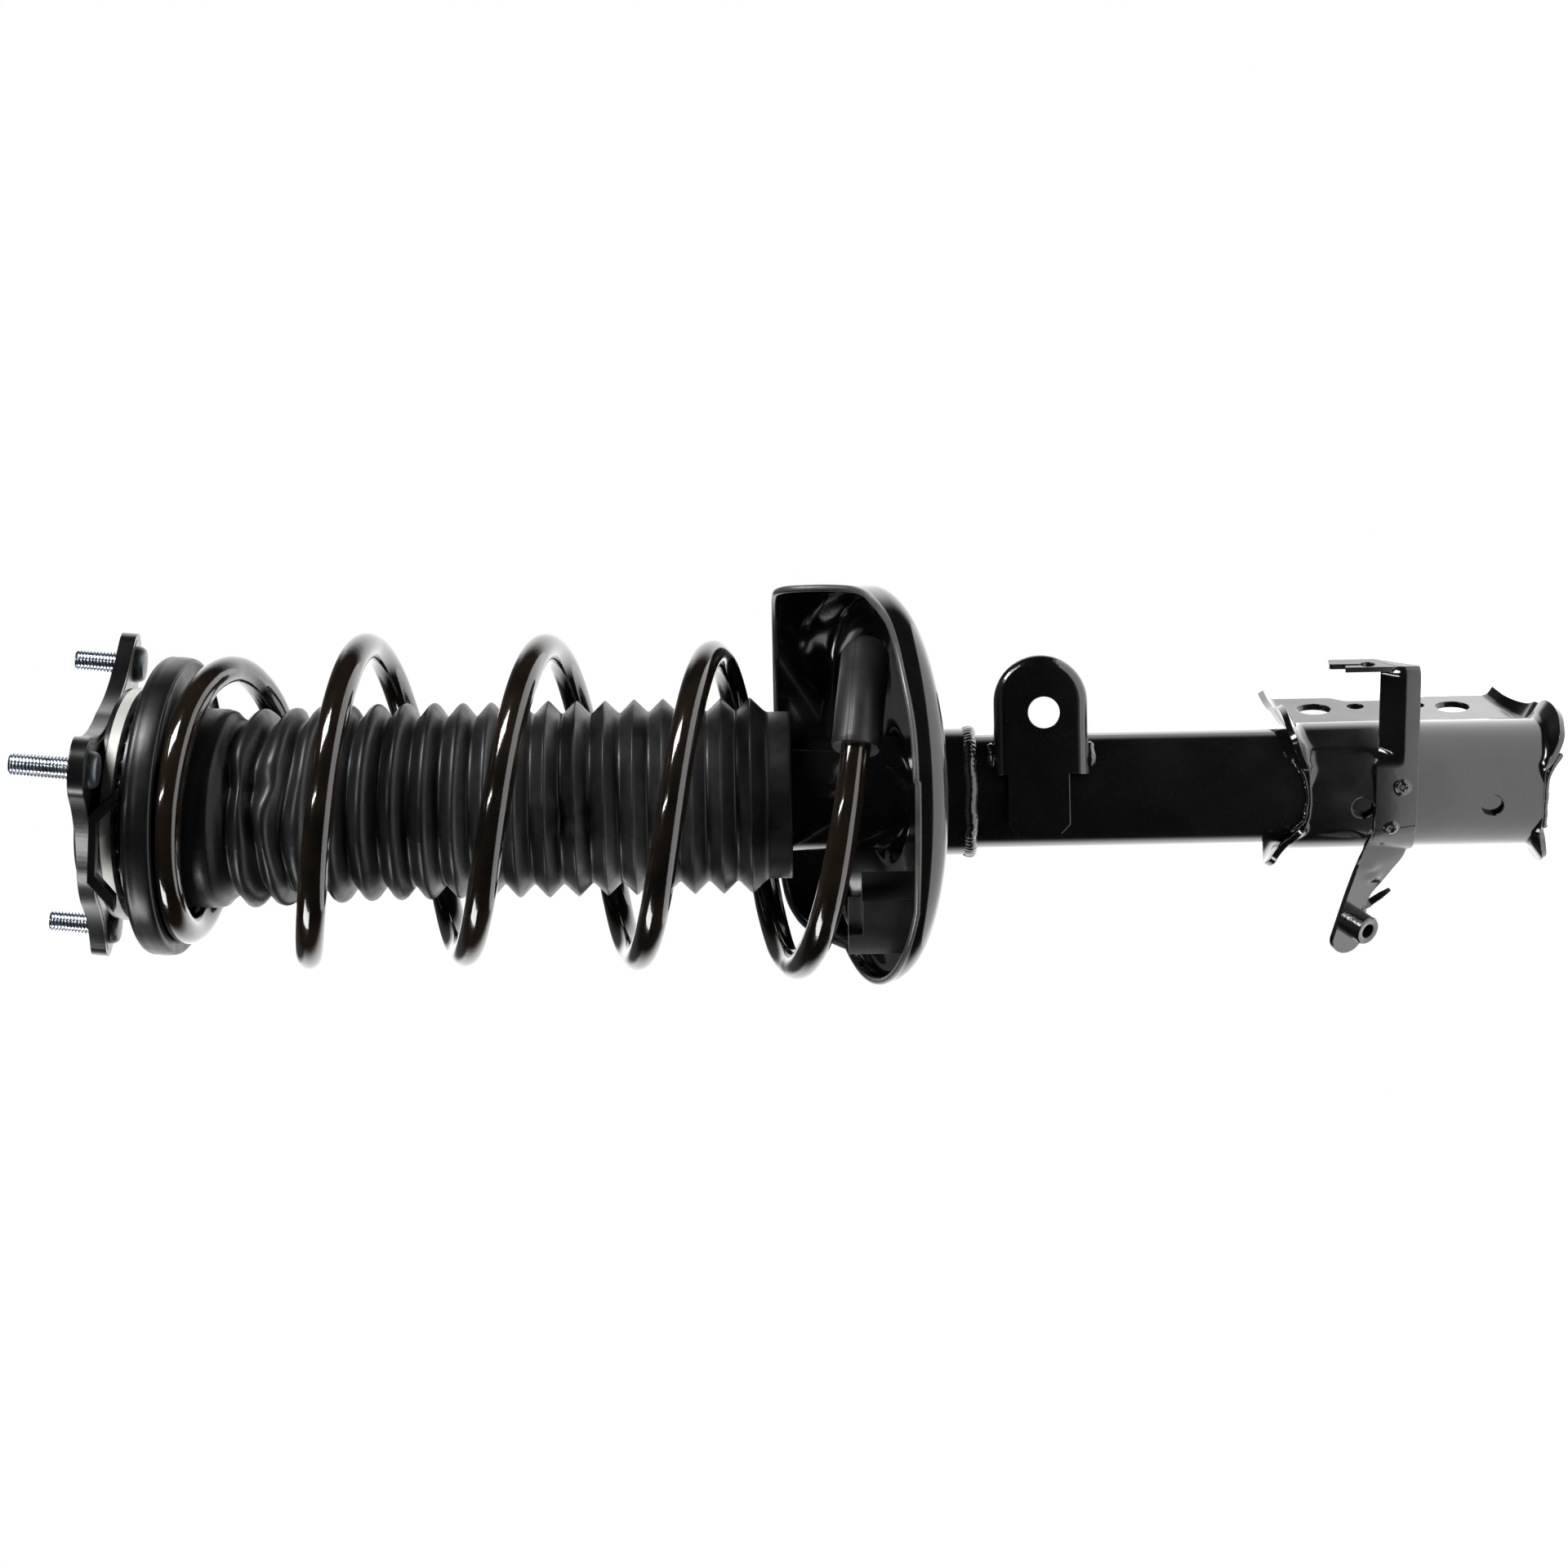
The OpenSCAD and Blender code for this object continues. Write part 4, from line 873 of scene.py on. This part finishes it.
# Band, then the standing arm that leaves it at a tangent, with its left edge bent back
rows = []
for k in range(61):
    a = math.radians(BAND_FROM + (BAND_TO - BAND_FROM) * k / 60)
    low = BAND_TOP - BAND_W + 5 * smoothstep(-138, BAND_FROM, math.degrees(a))
    rows.append([heading(a) * BAND_R + Z * z for z in spread(low, BAND_TOP, 12)])
end = heading(math.radians(BAND_TO)) * BAND_R
for x in spread(end.x + 1.5, ARM_END, 44):
    bent = smoothstep(19, 25, x)
    row = []
    for k, z in enumerate(spread(0, BAND_W, 12)):
        back = max(0.0, z - BAND_W * 0.44) * bent
        row.append(Vector((x, end.y + back * 0.62, BAND_TOP - BAND_W + z - back * 0.22)))
    rows.append(row)
corner = rows[-1]
for t in spread(0, math.pi / 2, 8)[1:]:
    turn = Vector((BAND_CORNER * math.sin(t), BAND_CORNER * (1 - math.cos(t)), 0))
    rows.append([p + turn for p in corner])
band = strip("hose_bracket_band", rows)

# End tab, square to the ears, open to the strut's top with a slot for a hose clip
TAB_X, TAB_EDGE, TAB_FOOT = 61.9, -26.4, BAND_TOP - BAND_W + 0.4
tab = [(TAB_EDGE, TAB_FOOT), (-24.4, TAB_FOOT), (-14.4, BAND_TOP),
       (-14.4, -548.2), (-15.2, -547.4), (-20.6, -547.4), (-21.4, -548.2), (-21.4, -560.6)]
tab += [(-22.4 + 3.4 * math.cos(t), -563.8 + 3.4 * math.sin(t))
        for t in spread(math.radians(72), math.radians(-252), 20)]
tab += [(-23.4, -560.6), (-23.4, -554.6), (-24.2, -553.8), (TAB_EDGE, -553.8)]
front = [Vector((TAB_X + BAND_T / 2, y, z)) * MM for y, z in tab]
back = [Vector((TAB_X - BAND_T / 2, y, z)) * MM for y, z in tab]
n = len(tab)
faces = [tuple(range(n)), tuple(range(2 * n - 1, n - 1, -1))]
faces += [(i, i + n, (i + 1) % n + n, (i + 1) % n) for i in range(n)]
end_tab = piece("hose_bracket_tab", front + back, faces, coat_mat, "strut_tube", smooth=False)

# Lower arm: from the band's end, down and round to the nut, with two pressed dimples
side = NUT_AXIS.cross(Vector((0, 0, 1))).normalized()
along = side.cross(NUT_AXIS).normalized()
face = NUT_AT - NUT_AXIS * BAND_T / 2
# Both edges as (towards the link tab's side, along the strut); the depth follows the nut's
# seat and runs into the band at the root
LEFT_EDGE = [(-20, -568.2), (-29, -564), (-34.3, -561.1), (-49.1, -555.9), (-68, -550.1)]
RIGHT_EDGE = [(-18, -586.4), (-31.7, -582.7), (-42, -573.8), (-49, -566.6), (-68, -564.5)]


def on_arm(up, z):
    """A point on the lower arm's face, from up across the strut and z along it."""
    seat = (NUT_AXIS.dot(face) - up * NUT_AXIS.dot(U) - z * NUT_AXIS.z) / NUT_AXIS.dot(N)
    ring = math.sqrt(max(120.0, BAND_R ** 2 - up * up))
    return U * up + Z * z + N * (ring + (seat - ring) * smoothstep(-20, -40, up))


left_path = rounded([Vector((a, b, 0)) for a, b in LEFT_EDGE], 3)
right_path = rounded([Vector((a, b, 0)) for a, b in RIGHT_EDGE], 3)


def along_path(path, share):
    """The point at a share of the path's length."""
    lengths = [(b - a).length for a, b in zip(path, path[1:])]
    want = share * sum(lengths)
    for (a, b), run in zip(zip(path, path[1:]), lengths):
        if want <= run:
            return a.lerp(b, want / run)
        want -= run
    return path[-1]


rows = []
for i in range(57):
    s = min(1.0, i / 48)
    a, b = along_path(left_path, s), along_path(right_path, s)
    tip = max(0, i - 48) / 8
    row = []
    for t in spread(-1, 1, 16):
        p = (a + b) / 2 + (b - a) / 2 * t * math.sqrt(1 - 0.97 * tip * tip)
        q = on_arm(p.x - 6.8 * tip, p.y + 1.5 * tip)
        for spot, across in ((-36, -0.35), (-40.5, 0.1)):
            away = ((p.x - spot) / 2.0) ** 2 + ((t - across) / 0.42) ** 2
            q += NUT_AXIS * 1.3 * math.exp(-away)
        row.append(q)
    rows.append(row)
arm = strip("hose_bracket_arm", rows)

# Hooked finger beside the nut
finger = [on_arm(-55, -563.5), on_arm(-53.5, -567), on_arm(-52, -569) + N * 1.5,
          on_arm(-49.5, -573) + N * 4, on_arm(-47, -577) + N * 6]
rows = []
for i, wide in enumerate((1.7, 1.7, 1.6, 1.5, 0.9)):
    rows.append([finger[i] + (U * 0.85 + Z * 0.53) * wide * t for t in spread(-1, 1, 4)])
hook = strip("hose_bracket_hook", rows, 2.0)
merge([band, end_tab, arm, hook], "hose_bracket")

# Weld nut: a slightly uneven round nut with a chamfered bore
NUT = [(3.4, 12.2), (3.9, 12.5), (6.0, 12.5), (6.6, 11.9), (6.75, 6), (6.6, 0.2), (6.6, 0.0),
       (3.4, 0.0), (3.4, 6.0)]
rings = []
for i in range(72):
    w = 2 * math.pi * i / 72
    out = side * math.cos(w) + along * math.sin(w)
    rough = 1 + 0.02 * noise.noise(out * 2.3)
    rings.append([(NUT_AT + out * r * (rough if r > 5 else 1) + NUT_AXIS * h) * MM for r, h in NUT])
verts, faces = rings_to_mesh(rings, close_path=True)
nut = piece("hose_weld_nut", verts, faces, weld_mat, "strut_tube")
smooth_by_angle(nut, 40)
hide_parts("hose_nut")

# Spot welds on the band: a crater with a raised, torn rim
SPOT_R, RIM_R, SPOT_FACE = 4.6, 2.2, BAND_R + 1.05   # the face is sunk a little in the band
spots = []
for index, (off, lift) in enumerate(((-2.5, -2.6), (-40.0, 1.8))):
    a0 = FRONT + math.radians(off)
    rows = []
    for i in range(15):
        d = SPOT_R * i / 14
        row = []
        for k in range(40):
            w = 2 * math.pi * k / 40
            reach = d * (1 + 0.22 * noise.noise(Vector((math.cos(w), math.sin(w), index * 5.0))))
            a = a0 + reach * math.cos(w) / 30.4
            z = BAND_TOP - BAND_W / 2 + lift + reach * math.sin(w)
            rise = math.exp(-((d - RIM_R) / 0.9) ** 2) - 0.5 * math.exp(-(d / 1.1) ** 2)
            rise *= 1 + 0.6 * noise.noise(Vector((a * 30, z, 2.0)) * 0.7)
            rise -= 0.3 * (d > 4.5)
            p = heading(a) * (SPOT_FACE + rise)
            if p.x > end.x:                 # on the flat of the arm that stands off the tube
                p.y = end.y - BAND_T / 2 - rise
            row.append((p + Z * z) * MM)
        rows.append(row)
    verts, faces = rings_to_mesh(rows, caps=False)
    spots.append(piece(f"hose_bracket_spot_{index}", verts, faces, weld_mat, "strut_tube"))
merge(spots, "hose_bracket_welds")

# -------------------------------------------------------------- camera, light
CAMERA_AIM = U * 4.83 * MM + Z * -307.8 * MM
CAMERA_DISTANCE, CAMERA_ROLL, LENS, SENSOR = 2.0, math.radians(1.066), 102.83, 36
cam_data = bpy.data.cameras.new("camera")
cam = bpy.data.objects.new("camera", cam_data)
bpy.context.scene.collection.objects.link(cam)
cam_data.lens = LENS
cam_data.sensor_width = SENSOR
cam_data.clip_end = 50
cam.location = CAMERA_AIM + N * CAMERA_DISTANCE
right = -Z * math.cos(CAMERA_ROLL) - U * math.sin(CAMERA_ROLL)
up = N.cross(right)
cam.matrix_world = Matrix.Translation(cam.location) @ Matrix(
    (right, up, N)).transposed().to_4x4()
bpy.context.scene.camera = cam

bpy.context.scene.view_settings.view_transform = "Standard"

world = bpy.data.worlds.new("studio")
bpy.context.scene.world = world
world.use_nodes = True
wn, wl = world.node_tree.nodes, world.node_tree.links
wn.clear()
wout = wn.new("ShaderNodeOutputWorld")
background = wn.new("ShaderNodeBackground")
where = wn.new("ShaderNodeTexCoord")


def world_dot(vector):
    """How far the sky's direction points along a vector, from -1 to 1."""
    d = wn.new("ShaderNodeVectorMath")
    d.operation = "DOT_PRODUCT"
    d.inputs[1].default_value = vector
    wl.new(where.outputs["Generated"], d.inputs[0])
    return d.outputs["Value"]


def world_step(source, a, b, lo, hi):
    """Rises softly from lo at a to hi at b."""
    r = wn.new("ShaderNodeMapRange")
    r.interpolation_type = "SMOOTHSTEP"
    r.inputs["From Min"].default_value = a
    r.inputs["From Max"].default_value = b
    r.inputs["To Min"].default_value = lo
    r.inputs["To Max"].default_value = hi
    wl.new(source, r.inputs["Value"])
    return r.outputs[0]


def world_math(op, a, b):
    """A Math node on two sockets or numbers."""
    m = wn.new("ShaderNodeMath")
    m.operation = op
    for i, v in enumerate((a, b)):
        if isinstance(v, (int, float)):
            m.inputs[i].default_value = v
        else:
            wl.new(v, m.inputs[i])
    return m.outputs[0]


# The sky shines from beyond the strut and is dim past its top. The camera sees plain white.
behind = world_math("MULTIPLY", world_step(world_dot(-N), 0.45, 0.78, 0.0, 1.5),
                    world_step(world_dot(-Z), -0.46, -0.30, 0.06, 1))
level = world_math("ADD", behind, 0.008)
path = wn.new("ShaderNodeLightPath")
mix = wn.new("ShaderNodeMix")
mix.data_type = "FLOAT"
wl.new(path.outputs["Is Camera Ray"], mix.inputs["Factor"])
wl.new(level, mix.inputs["A"])
mix.inputs["B"].default_value = 1.0
wl.new(mix.outputs["Result"], background.inputs["Strength"])
background.inputs["Color"].default_value = (1, 1, 1, 1)
wl.new(background.outputs[0], wout.inputs[0])


def area_light(name, where_at, size, power):
    """A soft rectangular light of a size in metres, aimed where the camera looks."""
    data = bpy.data.lights.new(name, "AREA")
    data.shape = "RECTANGLE"
    data.size, data.size_y = size
    data.energy = power
    light = bpy.data.objects.new(name, data)
    bpy.context.scene.collection.objects.link(light)
    light.location = where_at
    light.rotation_euler = (CAMERA_AIM - where_at).to_track_quat("-Z", "Y").to_euler()


area_light("key_above", CAMERA_AIM + U * 1.25 + N * 0.75 + Z * 1.0, (0.5, 0.9), 30)
area_light("strip_left", CAMERA_AIM + N * 1.1 + Z * 1.5 + U * 0.25, (0.10, 0.7), 7)
area_light("low_left", CAMERA_AIM - U * 1.3 + N * 0.1 + Z * 0.9, (0.4, 0.8), 10)

# Pale floor under the strut's lower end
m, nodes, links = new_material("pale_floor")
out = nodes.new("ShaderNodeOutputMaterial")
glow = nodes.new("ShaderNodeEmission")
glow.inputs["Strength"].default_value = 1.7
matte = nodes.new("ShaderNodeBsdfDiffuse")
matte.inputs["Color"].default_value = (0.5, 0.5, 0.5, 1)
both = nodes.new("ShaderNodeAddShader")
links.new(glow.outputs[0], both.inputs[0])
links.new(matte.outputs[0], both.inputs[1])
links.new(both.outputs[0], out.inputs[0])
FLOOR_R, FLOOR_GAP = 0.62, 0.004
floor_z = cad_box[0].z - FLOOR_GAP
edge = [(FLOOR_R * math.cos(a), FLOOR_R * math.sin(a), floor_z)
        for a in (2 * math.pi * k / 96 for k in range(96))]
floor = piece("floor", edge, [tuple(range(96))], m, smooth=False)
